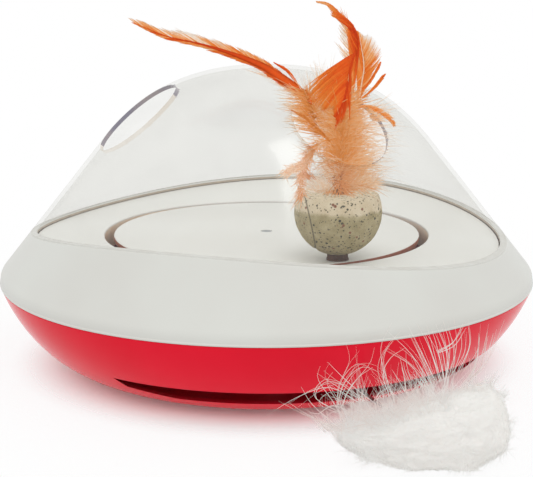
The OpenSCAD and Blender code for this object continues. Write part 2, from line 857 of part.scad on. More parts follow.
module felt_clutch() color("#5d5a55") {
    translate([0, 0, felt_z])
    difference() {
        cylinder(r = hub_r + felt_lip, h = felt_t);
        translate([0, 0, -cut])
        cylinder(r = spindle_r + run_clear, h = felt_t + 2 * cut);
    }
}

module ball_pedestal() color("#3a3630") {
    translate([ball_xy[0], ball_xy[1], deck_z]) {
        difference() {
            cylinder(r = pedestal_r, h = ball_lift + pedestal_seat);
            translate([0, 0, ball_lift + ball_r])
            sphere(r = ball_r + rest_gap);
        }
        cylinder(r = peg_r, h = ball_lift + peg_l);
    }
}

module catnip_ball() color("#b9ad8d") {
    translate([ball_xy[0], ball_xy[1], ball_z])
    difference() {
        sphere(r = ball_r);
        translate([0, 0, ball_flat])
        cylinder(r = ball_r + cut, h = ball_r);
        translate([0, 0, -ball_r - cut])
        cylinder(r = peg_r + rest_gap, h = cut + peg_l + stack_gap);
        translate([0, 0, ball_flat - ferrule_depth])
        cylinder(r = ferrule_r + rest_gap, h = ferrule_depth + cut);
    }
}

module feather_ferrule() color("#6b4a34") {
    translate([ball_xy[0], ball_xy[1], ball_top_z - ferrule_depth])
    cylinder(r = ferrule_r, h = ferrule_depth + ferrule_show);
}

module down_plume() color("#e8a673") {
    blade(plume_route, plume_half, max(plume_half), feather_face, plume_sides);
}

module long_feather() color("#e8793f") {
    blade(long_route, long_half, feather_t, feather_face, feather_sides);
}

module upright_feather() color("#e0642f") {
    blade(upright_route, upright_half, feather_t, feather_face, feather_sides);
}

module broad_feather() color("#d9552c") {
    blade(broad_route, broad_half, feather_t, feather_face, feather_sides);
}

module idler_gear() color("#e3dfd2") {
    toward_motor = motor_turn - 90;
    toward_rotor = idler_az + 90 + 180 / idler_small_teeth;
    translate([idler_xy[0], idler_xy[1], 0])
    difference() {
        union() {
            translate([0, 0, idler_large_z])
            gear(idler_large_teeth, idler_gear_w, toward_motor);
            translate([0, 0, idler_large_z + idler_gear_w - cut])
            gear(idler_small_teeth, rotor_gear_z + rotor_gear_w - idler_large_z - idler_gear_w + cut,
                toward_rotor);
        }
        translate([0, 0, idler_large_z - cut])
        cylinder(r = axle_r + run_clear, h = seam_z);
    }
}

module motor_shaft() color("#c4c6c8") {
    translate([motor_xy[0], motor_xy[1], motor_shaft_z])
    cylinder(r = motor_shaft_r, h = idler_large_z + idler_gear_w + stack_gap - motor_shaft_z);
}

module motor_pinion() color("#d9b45a") {
    toward_idler = motor_turn + 90 + 180 / pinion_teeth;
    translate([motor_xy[0], motor_xy[1], idler_large_z])
    difference() {
        gear(pinion_teeth, idler_gear_w, toward_idler);
        translate([0, 0, -cut])
        cylinder(r = motor_shaft_r + rest_gap, h = idler_gear_w + 2 * cut);
    }
}

module along_wag(from, r, l) {
    at(wag_az, from, wag_z)
    rotate([90, 0, 0])
    cylinder(r = r, h = l);
}

module wag_arm() color("#dcdcd6") {
    difference() {
        union() {
            translate([0, 0, wag_z - wag_hub_h / 2])
            cylinder(r = wag_hub_r, h = wag_hub_h);
            at(wag_az, wag_l / 2, wag_z - wag_t / 2)
            block([wag_w, wag_l, wag_t]);
        }
        translate([0, 0, wag_z - wag_hub_h])
        cylinder(r = spindle_r + run_clear, h = 2 * wag_hub_h);
        along_wag(crimp_from, crimp_r + rest_gap, crimp_l);
    }
}

module wire_crimp() color("#c8a24c") {
    difference() {
        along_wag(crimp_from, crimp_r, crimp_l);
        along_wag(crimp_from - cut, wire_r + rest_gap, crimp_l + 2 * cut);
    }
}

module spring_wire() color("#b5b7ba") {
    along_wag(crimp_from + cut, wire_r, puff_out - crimp_from - cut);
}

// A soft lumpy ball that rests just clear of the floor
module white_puff() color("#eceae6") {
    at(wag_az, puff_out, puff_clear + puff_half_h)
    loft([for (i = [0:puff_rings])
        let (lat = puff_cap * (2 * i / puff_rings - 1))
        [for (k = [0:puff_sides - 1])
            let (a = 360 * k / puff_sides,
                r = puff_r * (1 - puff_lump + puff_lump * sin(puff_lobes * a + puff_twist * i)))
            [r * cos(lat) * cos(a), r * cos(lat) * sin(a), puff_half_h * sin(lat) / sin(puff_cap)]]]);
}

base_bowl();
rubber_feet();
mid_shell();
deck_ring();
clear_dome();
shell_screws();
spindle();
centre_screw();
idler_axle();
motor_can();
motor_end_cap();
battery_box();
batteries();
battery_contacts();
battery_door();
door_screw();
control_board();
board_screws();
switch_body();
wiring();
turntable();
rotor_gear();
felt_clutch();
ball_pedestal();
catnip_ball();
feather_ferrule();
down_plume();
long_feather();
upright_feather();
broad_feather();
idler_gear();
motor_shaft();
motor_pinion();
wag_arm();
wire_crimp();
spring_wire();
white_puff();
switch_slider();
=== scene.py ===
# Looks of a motorised feather toy for cats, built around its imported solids.
# Sizes are in millimetres and directions are angles from the front (-Y) towards the right (+X).
import json
import math

import bmesh
import bpy
import numpy as np
from mathutils import Matrix, Vector, noise


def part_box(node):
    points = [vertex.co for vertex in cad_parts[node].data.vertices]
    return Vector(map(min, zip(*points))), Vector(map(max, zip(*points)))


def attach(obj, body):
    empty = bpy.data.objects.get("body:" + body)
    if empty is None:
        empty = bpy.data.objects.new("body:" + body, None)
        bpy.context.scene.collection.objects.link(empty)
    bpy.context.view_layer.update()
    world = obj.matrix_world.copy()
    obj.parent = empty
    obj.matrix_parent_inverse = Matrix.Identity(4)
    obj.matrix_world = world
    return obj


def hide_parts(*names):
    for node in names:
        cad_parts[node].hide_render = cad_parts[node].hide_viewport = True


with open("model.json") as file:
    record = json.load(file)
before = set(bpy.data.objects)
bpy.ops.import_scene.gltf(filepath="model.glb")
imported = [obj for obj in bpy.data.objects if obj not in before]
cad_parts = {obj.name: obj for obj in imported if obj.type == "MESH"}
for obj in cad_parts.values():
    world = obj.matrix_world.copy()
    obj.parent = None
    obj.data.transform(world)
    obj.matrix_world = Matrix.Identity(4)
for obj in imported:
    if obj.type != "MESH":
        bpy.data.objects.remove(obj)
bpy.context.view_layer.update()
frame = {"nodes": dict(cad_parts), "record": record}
scene = bpy.context.scene
MM = 0.001
# The noise that gives directions starts from the clock unless it is seeded
noise.seed_set(7)

# Camera, at the photograph's viewing angle
PHOTO_W = 533
FOCAL_PX = 1350.66
SENSOR = 36.0
CAMERA_AZ = 21.25
CAMERA_EL = 12.28
CAMERA_AWAY = 700.0
LOOK_AT = Vector((0, 0, 60.89))


def heading(azimuth, elevation=0.0):
    """Unit direction at an angle from the front towards the right, raised by an elevation."""
    a, e = math.radians(azimuth), math.radians(elevation)
    return Vector((math.sin(a) * math.cos(e), -math.cos(a) * math.cos(e), math.sin(e)))


def linked(name, data):
    """A new object in the scene."""
    made = bpy.data.objects.new(name, data)
    scene.collection.objects.link(made)
    return made


def aim(made, way, away):
    """Puts a camera or a lamp at a distance in a direction, turned to the toy."""
    made.location = (LOOK_AT + way * away) * MM
    made.rotation_mode = "QUATERNION"
    made.rotation_quaternion = (-way).to_track_quat("-Z", "Y")


def make_camera():
    """The camera that took the photograph, as far as it could be fitted."""
    data = bpy.data.cameras.new("camera")
    data.sensor_width = SENSOR
    data.lens = FOCAL_PX / PHOTO_W * SENSOR
    scene.camera = linked("camera", data)
    aim(scene.camera, heading(CAMERA_AZ, CAMERA_EL), CAMERA_AWAY)


make_camera()


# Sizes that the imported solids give
def span(node_name):
    """A node's lowest and highest corners in millimetres."""
    low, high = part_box(node_name)
    return low / MM, high / MM


bowl_high = span("base_bowl")[1]
ball_low, ball_high = span("catnip_ball")
table_low, table_high = span("turntable")
puff_low, puff_high = span("white_puff")
idler_low, idler_high = span("idler_axle")
motor_low, motor_high = span("motor_can")
SEAM_R = bowl_high.x
SEAM_Z = bowl_high.z
STAND_OFF = span("battery_door")[0].z
RIM_HIGH_Z = span("mid_shell")[1].z
DOME_TOP_Z = span("clear_dome")[1].z
DECK_Z = table_high.z
TABLE_R = table_high.x
BALL_R = (ball_high.x - ball_low.x) / 2
BALL = Vector(((ball_low.x + ball_high.x) / 2, (ball_low.y + ball_high.y) / 2, ball_low.z + BALL_R))
BALL_FLAT = ball_high.z - BALL.z
BAND_RISE = 1.0
PUFF = (puff_low + puff_high) / 2
ROOT = Vector((BALL.x, BALL.y, span("feather_ferrule")[1].z))

# Sizes of the mouldings that a box can't give
FLAT_R = 90.0
WALL = 2.5
RIM_LOW_Z = SEAM_Z + 20.0
CONE_SLOPE = 0.8
SHOULDER_RISE = 8.0
SHOULDER_IN = 2.9
SHOULDER_EDGE = 2.0
SHOULDER_PULL = 3.0
GAP = 0.3
BEAD_R = 0.7
RIM_BAND_H = 1.5
DECK_DROP = 1.6
CROWN_Z = SEAM_Z + 70.0
DOME_WALL = 2.0
DECK_IN_R = TABLE_R + 4.7
DECK_T = 2.2
DECK_SKIRT = 12.0
TABLE_T = 3.0
SLOT_AZ = 45.0
SLOT_LOW, SLOT_HIGH = 10.0, 17.7
SLOT_W_LOW, SLOT_W_HIGH = 158.0, 207.0
SLOT_BEND_Z, SLOT_BEND_W = 0.4, 0.74
PAW_HOLE_R = 24.0
PAW_HOLE_AZ = 52.5
PAW_HOLE_Z = SEAM_Z + 85.5
PAW_HOLE_TILT = 44.0
PAW_HOLE_PLUG = 30.0
PAW_HOLE_NEAR = 0.2
DOME_FOOT_RISE = 0.45
POST_OUT = 104.0
POST_AZ = (125, 185, 245, 306)
FEET_OUT = 77.0
FEET_AZ = (20, 90, 195, 270)
FOOT_R = 7.02
DOOR_AZ, DOOR_OUT = 140.0, 55.0
DOOR_OUTLINE = [(-29, -25.8), (29, -25.8), (29, 25.8), (5, 25.8), (5, 32.8), (-5, 32.8), (-5, 25.8), (-29, 25.8)]
DOOR_RECESS = 1.7
CELL_OPENING = (52, 45.6)
SWITCH_AZ, SWITCH_OUT = 290.0, 60.0
SWITCH_OPENING = (9.2, 4.6)
FOOT_RECESS = 1.0
SCREW_RECESS_R, SCREW_RECESS_TOP = 3.3, 12.0
TABLE_SKIRT_IN, TABLE_SKIRT_T, TABLE_SKIRT = 1.5, 2.0, 4.0
HUB_R, SPINDLE_HOLE_R = 6.0, 3.05
CENTRE_RECESS_R, CENTRE_RECESS, CENTRE_HOLE_R = 2.9, 1.8, 1.5
BALL_EDGE_IN = 0.94
FERRULE_HOLE_R = 2.6
SEAT_PIN_R = 2.1

# How far a cutter runs past what it cuts, and the turn in degrees above which an edge stays sharp
PAST = 1.0
SHARP = 32

# Directions of the picture, in which the spray of feathers lies, and the seam down the ball's left
RIGHT = heading(CAMERA_AZ + 90)
FACE = heading(CAMERA_AZ, CAMERA_EL)
UP = FACE.cross(RIGHT)
SEAM_WAY = RIGHT + UP * 0.22
SEAM_OUT = 14.4


# Materials
def linear(code):
    """A colour written as sRGB hex, as the linear values that a shader takes."""
    parts = [int(code[i:i + 2], 16) / 255 for i in (1, 3, 5)]
    return [c / 12.92 if c <= 0.04045 else ((c + 0.055) / 1.055) ** 2.4 for c in parts] + [1.0]


def per(size):
    """Texture scale at which a pattern repeats about once in a size."""
    return 1 / (size * MM)


def add(tree, kind, sockets=None, stops=None, **settings):
    """Adds a node: sockets are linked or set, stops colour a ramp, settings are its own properties."""
    made = tree.nodes.new("ShaderNode" + kind)
    for name, value in settings.items():
        setattr(made, name, value)
    for name, value in (sockets or {}).items():
        if isinstance(value, bpy.types.NodeSocket):
            tree.links.new(value, made.inputs[name])
        else:
            made.inputs[name].default_value = value
    for i, (place, code) in enumerate(stops or ()):
        elements = made.color_ramp.elements
        stop = elements[i] if i < 2 else elements.new(place)
        stop.position, stop.color = place, linear(code)
    return made


def clouds(tree, place, size, detail, **sockets):
    """A cloudy pattern."""
    return add(tree, "TexNoise", {"Vector": place, "Scale": per(size), "Detail": detail, **sockets}).outputs["Fac"]


def tones(tree, value, *stops):
    """Colours that follow a value."""
    return add(tree, "ValToRGB", {"Fac": value}, stops).outputs["Color"]


def ranged(tree, value, low, high, first=0.0, last=1.0, **settings):
    """A value between first and last, carried over to low and high."""
    sockets = {"Value": value, "From Min": first, "From Max": last, "To Min": low, "To Max": high}
    return add(tree, "MapRange", sockets, **settings).outputs["Result"]


def reckon(tree, operation, *values):
    """What an operation makes of one or two values."""
    return add(tree, "Math", dict(enumerate(values)), operation=operation).outputs["Value"]


def mix(tree, share, under, over):
    """One colour laid over another by a share."""
    return add(tree, "Mix", {0: share, 6: under, 7: over}, data_type="RGBA").outputs[2]


def relief(tree, height, strength, depth):
    """A bumpy surface."""
    return add(tree, "Bump", {"Height": height, "Strength": strength, "Distance": depth * MM}).outputs["Normal"]


def start(name, **constants):
    """A new material's tree, its shader with these constants, and the place on the object."""
    made = bpy.data.materials.new(name)
    made.use_nodes = True
    tree = made.node_tree
    shader = tree.nodes["Principled BSDF"]
    for socket, value in constants.items():
        shader.inputs[socket.replace("_", " ")].default_value = value
    place = add(tree, "TexCoord").outputs["Object"]
    return made, tree, shader, place


def dress(tree, shader, **outputs):
    """Links outputs to a shader's sockets."""
    for socket, output in outputs.items():
        tree.links.new(output, shader.inputs[socket.replace("_", " ")])


def finish_with(tree, *shaders, share=0.5):
    """Makes a shader, or the second over the first by a share, the material's surface."""
    if len(shaders) == 2:
        shaders = [add(tree, "MixShader", {0: share, 1: shaders[0].outputs[0], 2: shaders[1].outputs[0]})]
    dress(tree, tree.nodes["Material Output"], Surface=shaders[0].outputs[0])


def moulded(name, low, high, haze, rough, grain, **constants):
    """Two near tones in a haze, a roughness that follows it, and a grain with its strength and depth."""
    made, tree, shader, place = start(name, **constants)
    cloud = clouds(tree, place, *haze)
    size, detail, strength, depth = grain
    dress(tree, shader, Base_Color=tones(tree, cloud, (0.3, low), (0.7, high)), Roughness=ranged(tree, cloud, *rough),
          Normal=relief(tree, clouds(tree, place, size, detail), strength, depth))
    return made


def polished_red_abs():
    """ABS moulded in a polished tool: deep even red, sharp highlights with a slight orange-peel waver."""
    return moulded("polished_red_abs", "#e2122b", "#ea1731", (40, 3.0), (0.13, 0.2), (9, 1.0, 0.05, 0.2),
                   IOR=1.3, Specular_IOR_Level=0.2)


def satin_white_abs(name, low, high):
    """ABS moulded in a finely eroded tool: warm white with a soft sheen and a grain that is just visible."""
    return moulded(name, low, high, (55, 2.0), (0.34, 0.44), (0.7, 2.0, 0.06, 0.1), IOR=1.5)


def worked(name, low, high, grain, rough, depth=0.05, **constants):
    """A plain worked surface: two near tones in a grain, a roughness that follows it, and a fine relief."""
    return moulded(name, low, high, (grain, 4.0), rough, (grain, 4.0, 0.3, depth), **constants)


def clear_polystyrene():
    """Polystyrene moulded clear: a faint grey cast, a thin gloss and a film of handling marks."""
    made, tree, _, place = start("clear_polystyrene")
    marks = clouds(tree, place, 30, 4.0)
    through = add(tree, "BsdfTransparent", {"Color": tones(tree, marks, (0.3, "#f8f8f7"), (0.7, "#fafaf9"))})
    shine = add(tree, "BsdfGlossy", {"Color": linear("#f4f4f2"), "Roughness": ranged(tree, marks, 0.1, 0.16)})
    facing = add(tree, "LayerWeight", {"Blend": 0.5}).outputs["Facing"]
    edge_on = reckon(tree, "POWER", facing, 5.0)
    finish_with(tree, through, shine, share=ranged(tree, edge_on, 0.035, 0.12))
    return made


def hole_edge_painted_reflection():
    """The punched edge of the clear moulding on a paw hole's far side: a grey-violet line of painted reflection, the
    room's dim side painted into it.
    """
    made, tree, shader, place = start("hole_edge_painted_reflection", IOR=1.49, Roughness=0.15)
    dress(tree, shader, Base_Color=tones(tree, clouds(tree, place, 22, 2.0), (0.35, "#85828f"), (0.65, "#a89d9c")))
    return made


def hole_brink_painted_reflection():
    """The near side of a punched edge, which turns away: almost lost, a faint warm line of painted reflection."""
    made, tree, _, place = start("hole_brink_painted_reflection")
    tint = tones(tree, clouds(tree, place, 22, 2.0), (0.35, "#eee6dd"), (0.65, "#f7f3ee"))
    finish_with(tree, add(tree, "BsdfTransparent", {"Color": tint}))
    return made


def gap_wall_painted_bounce():
    """Wall of the ring gap, left dull by the tool: painted tan at the front for red light bounced up from the bowl
    below, and white at the back.
    """
    made, tree, shader, place = start("gap_wall_painted_bounce", Roughness=0.65)
    tint = tones(tree, clouds(tree, place, 5, 3.0), (0.3, "#f8dfbf"), (0.7, "#fff0d8"))
    depth = add(tree, "SeparateXYZ", {0: place}).outputs["Y"]
    behind = ranged(tree, depth, 0.0, 1.0, 35 * MM, 78 * MM)
    dress(tree, shader, Base_Color=mix(tree, behind, tint, linear("#e6e4dd")))
    return made


# Size, share, spread and colour of each kind of fleck in the pressed leaf
FLECKS = ((2.6, 0.2, 0.5, "#39352a"), (1.5, 0.19, 0.44, "#5a523b"), (1.9, 0.24, 0.55, "#453f30"),
          (4.2, 0.13, 0.46, "#83513a"))


def pressed_catnip():
    """Dried leaf pressed with a binder: khaki with dark stalks and brown crumbs, and a paler upper half, painted light
    where the top is lit.
    """
    made, tree, shader, place = start("pressed_catnip", Roughness=0.85, Specular_IOR_Level=0.25)
    crumb = clouds(tree, place, 6, 6.0, Roughness=0.6)
    leaf = tones(tree, crumb, (0.3, "#94875f"), (0.7, "#b9ab88"), (0.5, "#a89a74"))
    lit_top_tones = tones(tree, crumb, (0.3, "#cbb898"), (0.7, "#dccdb2"))
    height = add(tree, "SeparateXYZ", {0: place}).outputs["Z"]
    level = reckon(tree, "ADD", height, ranged(tree, crumb, -1.5 * MM, 1.5 * MM))
    # Painted light: from just above its middle the ball takes paler tones
    band_z = (BALL.z + BAND_RISE) * MM
    tint = mix(tree, ranged(tree, level, 0.0, 1.0, band_z, band_z + 1.6 * MM), leaf, lit_top_tones)
    for size, share, spread, colour in FLECKS:
        chips = add(tree, "TexVoronoi", {"Vector": place, "Scale": per(size)}).outputs["Distance"]
        fleck = tones(tree, chips, (share, "#ffffff"), (share + 0.09, "#000000"))
        where = tones(tree, clouds(tree, place, size * 1.7, 2.0), (spread, "#000000"), (spread + 0.06, "#ffffff"))
        tint = mix(tree, reckon(tree, "MULTIPLY", fleck, where), tint, linear(colour))
    across = add(tree, "VectorMath", {0: place, 1: SEAM_WAY}, operation="DOT_PRODUCT").outputs["Value"]
    beside = reckon(tree, "ADD", across, (SEAM_OUT - BALL.dot(SEAM_WAY)) * MM)
    thin = ranged(tree, crumb, 0.35 * MM, 0.6 * MM, 0.3, 0.7)
    seam = ranged(tree, reckon(tree, "ABSOLUTE", beside), 0.85, 0.0, 0.12 * MM, thin)
    dress(tree, shader, Base_Color=mix(tree, seam, tint, linear("#5d533c")), Normal=relief(tree, crumb, 0.45, 0.4))
    return made


def barbs(name, stops, rough, glow):
    """Barbs of a feather or of down: colour runs with each barb's own shade, and light comes through them."""
    made, tree, shader, place = start(name, Roughness=rough, Specular_IOR_Level=0.1)
    shade = add(tree, "Attribute", attribute_name="shade").outputs["Fac"]
    waver = ranged(tree, clouds(tree, place, 1.6, 3.0), -0.09, 0.09)
    tint = tones(tree, reckon(tree, "ADD", shade, waver), *stops)
    dress(tree, shader, Base_Color=tint)
    finish_with(tree, shader, add(tree, "BsdfTranslucent", {"Color": tint}), share=glow)
    return made


def dyed_vane():
    """Vane of a dyed quill feather: deep red-orange at the quill, paling to straw at the barbs' ends."""
    return barbs("dyed_feather_vane", [(0.0, "#dc4a1c"), (1.0, "#fdf1e4"), (0.25, "#ee6a26"), (0.5, "#f59440"),
                                       (0.75, "#f9bf85")], 0.55, 0.3)


def dyed_down():
    """Dyed down at the feathers' roots: tan where it is packed, peach and nearly white at its loose ends."""
    return barbs("dyed_down", [(0.0, "#8f5630"), (1.0, "#fff6ec"), (0.22, "#dd8a42"), (0.5, "#f3ab62"),
                               (0.78, "#fbd4a8")], 0.75, 0.45)


def white_down():
    """Loose white down: bright and matt, with a faint warm pink where the strands shade each other."""
    return barbs("white_down", [(0.0, "#cdb0a4"), (1.0, "#fdfefc"), (0.5, "#f3e8e2")], 0.8, 0.45)


FINISHES = {
    "red_gloss": polished_red_abs(),
    "white_shell": satin_white_abs("satin_white_abs", "#d1d0ca", "#d6d7d1"),
    "clear_dome": clear_polystyrene(),
    # Moulded rubber: near black, dull, with a dusty bloom
    "rubber": worked("moulded_rubber", "#1f1f1f", "#333231", 3, (0.75, 0.95)),
    # Pressed felt: grey-brown, matt and fibrous
    "felt": worked("pressed_felt", "#4b4742", "#6d6862", 0.8, (0.9, 1.0), 0.3, Sheen_Weight=0.3),
    # Zinc-plated steel: cool grey with cloudy gloss
    "steel": worked("zinc_plated_steel", "#8f9296", "#b4b7ba", 4, (0.25, 0.42), 0.02, Metallic=1.0),
    # Turned brass: warm yellow metal
    "brass": worked("turned_brass", "#b08a45", "#d0ad63", 2, (0.25, 0.4), 0.02, Metallic=1.0),
    # Moulded black polypropylene: dark and slightly waxy
    "dark_plastic": worked("moulded_polypropylene", "#26241f", "#39352e", 2, (0.5, 0.65)),
    # Printed shrink sleeve of a cell: smooth green film
    "cell_sleeve": worked("shrink_sleeve", "#2f5c3e", "#41744f", 20, (0.3, 0.4), 0.02),
    # Solder mask over glass laminate: glossy green
    "board": worked("solder_mask", "#1f6a3c", "#2f8450", 5, (0.3, 0.45), 0.03),
    # Extruded lead sleeve: soft red
    "lead_sleeve": worked("extruded_sleeve", "#9c2222", "#b83030", 6, (0.45, 0.6), 0.02),
    # Moulded acetal gear: waxy cream
    "gear_plastic": worked("moulded_acetal", "#d3ccba", "#e6e1d3", 6, (0.35, 0.5), 0.02),
    "catnip": pressed_catnip(),
    # Turned wood plug stained by the dye: brown, with a dull grain
    "wood_plug": worked("turned_beech", "#5b3c27", "#80583a", 1.2, (0.6, 0.8), 0.1),
    "orange_feather": dyed_vane(),
    "white_down": white_down(),
}
DOWN = dyed_down()
DECK_WHITE = satin_white_abs("satin_white_abs_deck", "#e6e5df", "#ecece7")
# Dark seat under the ball: dull brown painted contact shadow of the ball over the dark plastic, in a fine grain
SEAT = worked("seat_painted_contact_shadow", "#48220e", "#5a3018", 1.5, (0.6, 0.8), 0.1, Specular_IOR_Level=0.1)
DOME_EDGE = hole_edge_painted_reflection()
DOME_BRINK = hole_brink_painted_reflection()
# Ground lower edge of the dome: milky where it sits on the rim
DOME_FOOT = worked("ground_polystyrene", "#cfcdc6", "#dadad5", 6, (0.4, 0.55))
# Band on the inner face of the shell's rim, under the dome's edge: warm grey painted shade of the shadowed rim face,
# dull
RIM_SHADE_BAND = worked("rim_painted_shade_band", "#b5a797", "#c8baa9", 2.5, (0.85, 0.95), 0.2)
GAP_WALL = gap_wall_painted_bounce()
# Unpolished rim and skirt of the turntable: painted brown, the shade in the ring gap with red light bounced from
# inside the base
TABLE_RIM = worked("turntable_rim_painted_shade", "#8c4227", "#a85c3c", 4, (0.6, 0.75))

for subpart in frame["record"]["subparts"]:
    for held in frame["nodes"][subpart["node"]].material_slots:
        held.material = FINISHES[subpart["material_slot"]]


# Meshes of the mouldings
def piece(name, mesh, body, slot, *nodes, materials=None):
    """Puts a mesh in the scene on a body, in place of the nodes that it stands for."""
    made = linked(name, mesh)
    for finish in materials or [FINISHES[slot]]:
        mesh.materials.append(finish)
    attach(made, body)
    if nodes:
        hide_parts(*nodes)
    return made


def loose(made):
    """Lets light through a clear or stranded piece, so that it doesn't blacken what is behind it."""
    made.visible_shadow = False
    made.visible_diffuse = False
    return made


def bezier(points, steps):
    """Points along a cubic curve."""
    run = []
    for i in range(steps + 1):
        t = i / steps
        weights = ((1 - t) ** 3, 3 * t * (1 - t) ** 2, 3 * t * t * (1 - t), t ** 3)
        run.append(tuple(sum(w * p[k] for w, p in zip(weights, points)) for k in (0, 1)))
    return run


def inset(run, distance):
    """A run of outline points moved to its left."""
    moved = []
    for i, (r, z) in enumerate(run):
        before, after = run[max(i - 1, 0)], run[min(i + 1, len(run) - 1)]
        dr, dz = after[0] - before[0], after[1] - before[1]
        length = math.hypot(dr, dz)
        moved.append((r - distance * dz / length, z + distance * dr / length))
    return moved


def softened(outline, steps=4):
    """A closed outline whose corners (r, z, radius) are rounded."""
    made = []
    for i, (r, z, radius) in enumerate(outline):
        if radius == 0:
            made.append((r, z))
            continue
        corner = Vector((r, z))
        ends = []
        for other in (outline[i - 1], outline[(i + 1) % len(outline)]):
            way = Vector(other[:2]) - corner
            ends.append(corner + way.normalized() * min(radius, way.length * 0.45))
        for k in range(steps + 1):
            t = k / steps
            made.append(tuple(ends[0] * (1 - t) ** 2 + corner * 2 * t * (1 - t) + ends[1] * t * t))
    return made


def cone_r(z):
    """Radius of the cone's outside at a height."""
    return SEAM_R - SHOULDER_IN - CONE_SLOPE * (z - SEAM_Z - SHOULDER_RISE)


SADDLE_DROP = RIM_HIGH_Z - RIM_LOW_Z
SADDLE_R = (cone_r(RIM_LOW_Z) ** 2 + SADDLE_DROP ** 2) / (2 * SADDLE_DROP)
CONE_WALL = WALL * math.hypot(1, CONE_SLOPE)


def saddle_z(x):
    """Height of the saddle-shaped rim at a distance to the side."""
    return RIM_HIGH_Z - SADDLE_R + math.sqrt(SADDLE_R ** 2 - x * x)


def rim_r(azimuth, wall=0.0, lift=0.0):
    """Radius at which the saddle meets the cone, or a surface a wall inside it."""
    r = cone_r(RIM_LOW_Z)
    for _ in range(8):
        r = cone_r(saddle_z(r * math.sin(math.radians(azimuth))) + lift) - wall
    return r


def turned(name, section, steps=192):
    """A closed outline carried round the axis: the same all round, or what a function gives at each azimuth."""
    rings = [section(360 * i / steps) if callable(section) else section for i in range(steps)]
    count = len(rings[0])
    points = []
    for i, ring in enumerate(rings):
        way = heading(360 * i / steps)
        points += [(r * way.x * MM, r * way.y * MM, z * MM) for r, z in ring]
    faces = []
    for i in range(steps):
        for k in range(count):
            a, b = i * count, (i + 1) % steps * count
            faces.append((a + k, b + k, b + (k + 1) % count, a + (k + 1) % count))
    mesh = bpy.data.meshes.new(name)
    mesh.from_pydata(points, [], faces)
    tidy(mesh)
    return mesh


def tidy(mesh):
    """Joins doubled points, turns faces outwards and smooths all but the sharp edges."""
    work = bmesh.new()
    work.from_mesh(mesh)
    bmesh.ops.remove_doubles(work, verts=work.verts, dist=0.002 * MM)
    bmesh.ops.dissolve_degenerate(work, edges=work.edges, dist=0.001 * MM)
    bmesh.ops.delete(work, geom=[e for e in work.edges if e.is_wire], context="EDGES")
    bmesh.ops.recalc_face_normals(work, faces=work.faces)
    work.to_mesh(mesh)
    work.free()
    mesh.shade_smooth()
    mesh.set_sharp_from_angle(angle=math.radians(SHARP))


def at(azimuth, out=0.0, z=0.0):
    """A place at a distance and height in a direction, turned to face it."""
    return Matrix.Rotation(math.radians(azimuth), 4, "Z") @ Matrix.Translation(Vector((0, -out, z)) * MM)


def prism(outline, low, high, place):
    """A straight plug of an outline, used to cut an opening."""
    count = len(outline)
    points = [(x * MM, y * MM, z * MM) for z in (low, high) for x, y in outline]
    faces = [tuple(range(count - 1, -1, -1)), tuple(range(count, 2 * count))]
    faces += [(k, (k + 1) % count, count + (k + 1) % count, count + k) for k in range(count)]
    mesh = bpy.data.meshes.new("cutter")
    mesh.from_pydata(points, [], faces)
    mesh.transform(place)
    return linked("cutter", mesh)


def circle(radius, count=96):
    """Outline of a round opening."""
    turns = [2 * math.pi * k / count for k in range(count)]
    return [(radius * math.cos(a), radius * math.sin(a)) for a in turns]


def oblong(width, depth):
    """Outline of a straight-sided opening."""
    return [(sx * width / 2, sy * depth / 2) for sx, sy in ((-1, -1), (1, -1), (1, 1), (-1, 1))]


def carved(mesh, cutters):
    """The mesh with each cutter taken out of it."""
    work = linked("work", mesh)
    for cutter in cutters:
        step = work.modifiers.new("cut", "BOOLEAN")
        step.object, step.operation, step.solver = cutter, "DIFFERENCE", "EXACT"
    bpy.context.view_layer.update()
    result = bpy.data.meshes.new_from_object(work.evaluated_get(bpy.context.evaluated_depsgraph_get()))
    for used in [work, *cutters]:
        bpy.data.objects.remove(used)
    return result


def true_normals(mesh, outline, allowed=24):
    """Gives a carved mesh the exact normals of the turned surface that it came from."""
    loop = np.array(outline)
    ahead = np.roll(loop, -1, axis=0) - loop
    length = np.maximum(np.linalg.norm(ahead, axis=1), 1e-9)
    normal = np.stack([ahead[:, 1], -ahead[:, 0]], axis=1) / length[:, None]
    at_point = normal + np.roll(normal, 1, axis=0)
    sharp = (normal * np.roll(normal, 1, axis=0)).sum(1) < math.cos(math.radians(allowed))
    co = np.array([v.co for v in mesh.vertices]) / MM
    flat = np.stack([np.hypot(co[:, 0], co[:, 1]), co[:, 2]], axis=1)
    loops = np.array([l.vertex_index for l in mesh.loops])
    owner = np.repeat(np.arange(len(mesh.polygons)), [p.loop_total for p in mesh.polygons])
    faces = np.array([p.normal for p in mesh.polygons])
    share = ((flat[:, None] - loop[None]) * ahead[None]).sum(2) / (length ** 2)[None]
    share = np.clip(share, 0, 1)
    gap = np.linalg.norm(loop[None] + share[..., None] * ahead[None] - flat[:, None], axis=2)
    best = gap.argmin(axis=1)
    part = share[np.arange(len(flat)), best][:, None]
    first = np.where(sharp[best][:, None], normal[best], at_point[best])
    after = (best + 1) % len(loop)
    last = np.where(sharp[after][:, None], normal[best], at_point[after])
    plane = first * (1 - part) + last * part
    plane /= np.maximum(np.linalg.norm(plane, axis=1), 1e-9)[:, None]
    around = co[:, :2] / np.maximum(flat[:, :1], 1e-9)
    solid = np.column_stack([around * plane[:, :1], plane[:, 1]])
    wanted = solid[loops]
    off = (wanted * faces[owner]).sum(1) < math.cos(math.radians(allowed))
    far = gap.min(axis=1)[loops] > 0.05
    wanted[off | far] = faces[owner][off | far]
    mesh.shade_smooth()
    mesh.normals_split_custom_set([tuple(n) for n in wanted])


BOWL_CURVE = [(FLAT_R, STAND_OFF), (FLAT_R + 24, STAND_OFF + 2.2), (SEAM_R - 6.4, SEAM_Z - 17), (SEAM_R, SEAM_Z)]


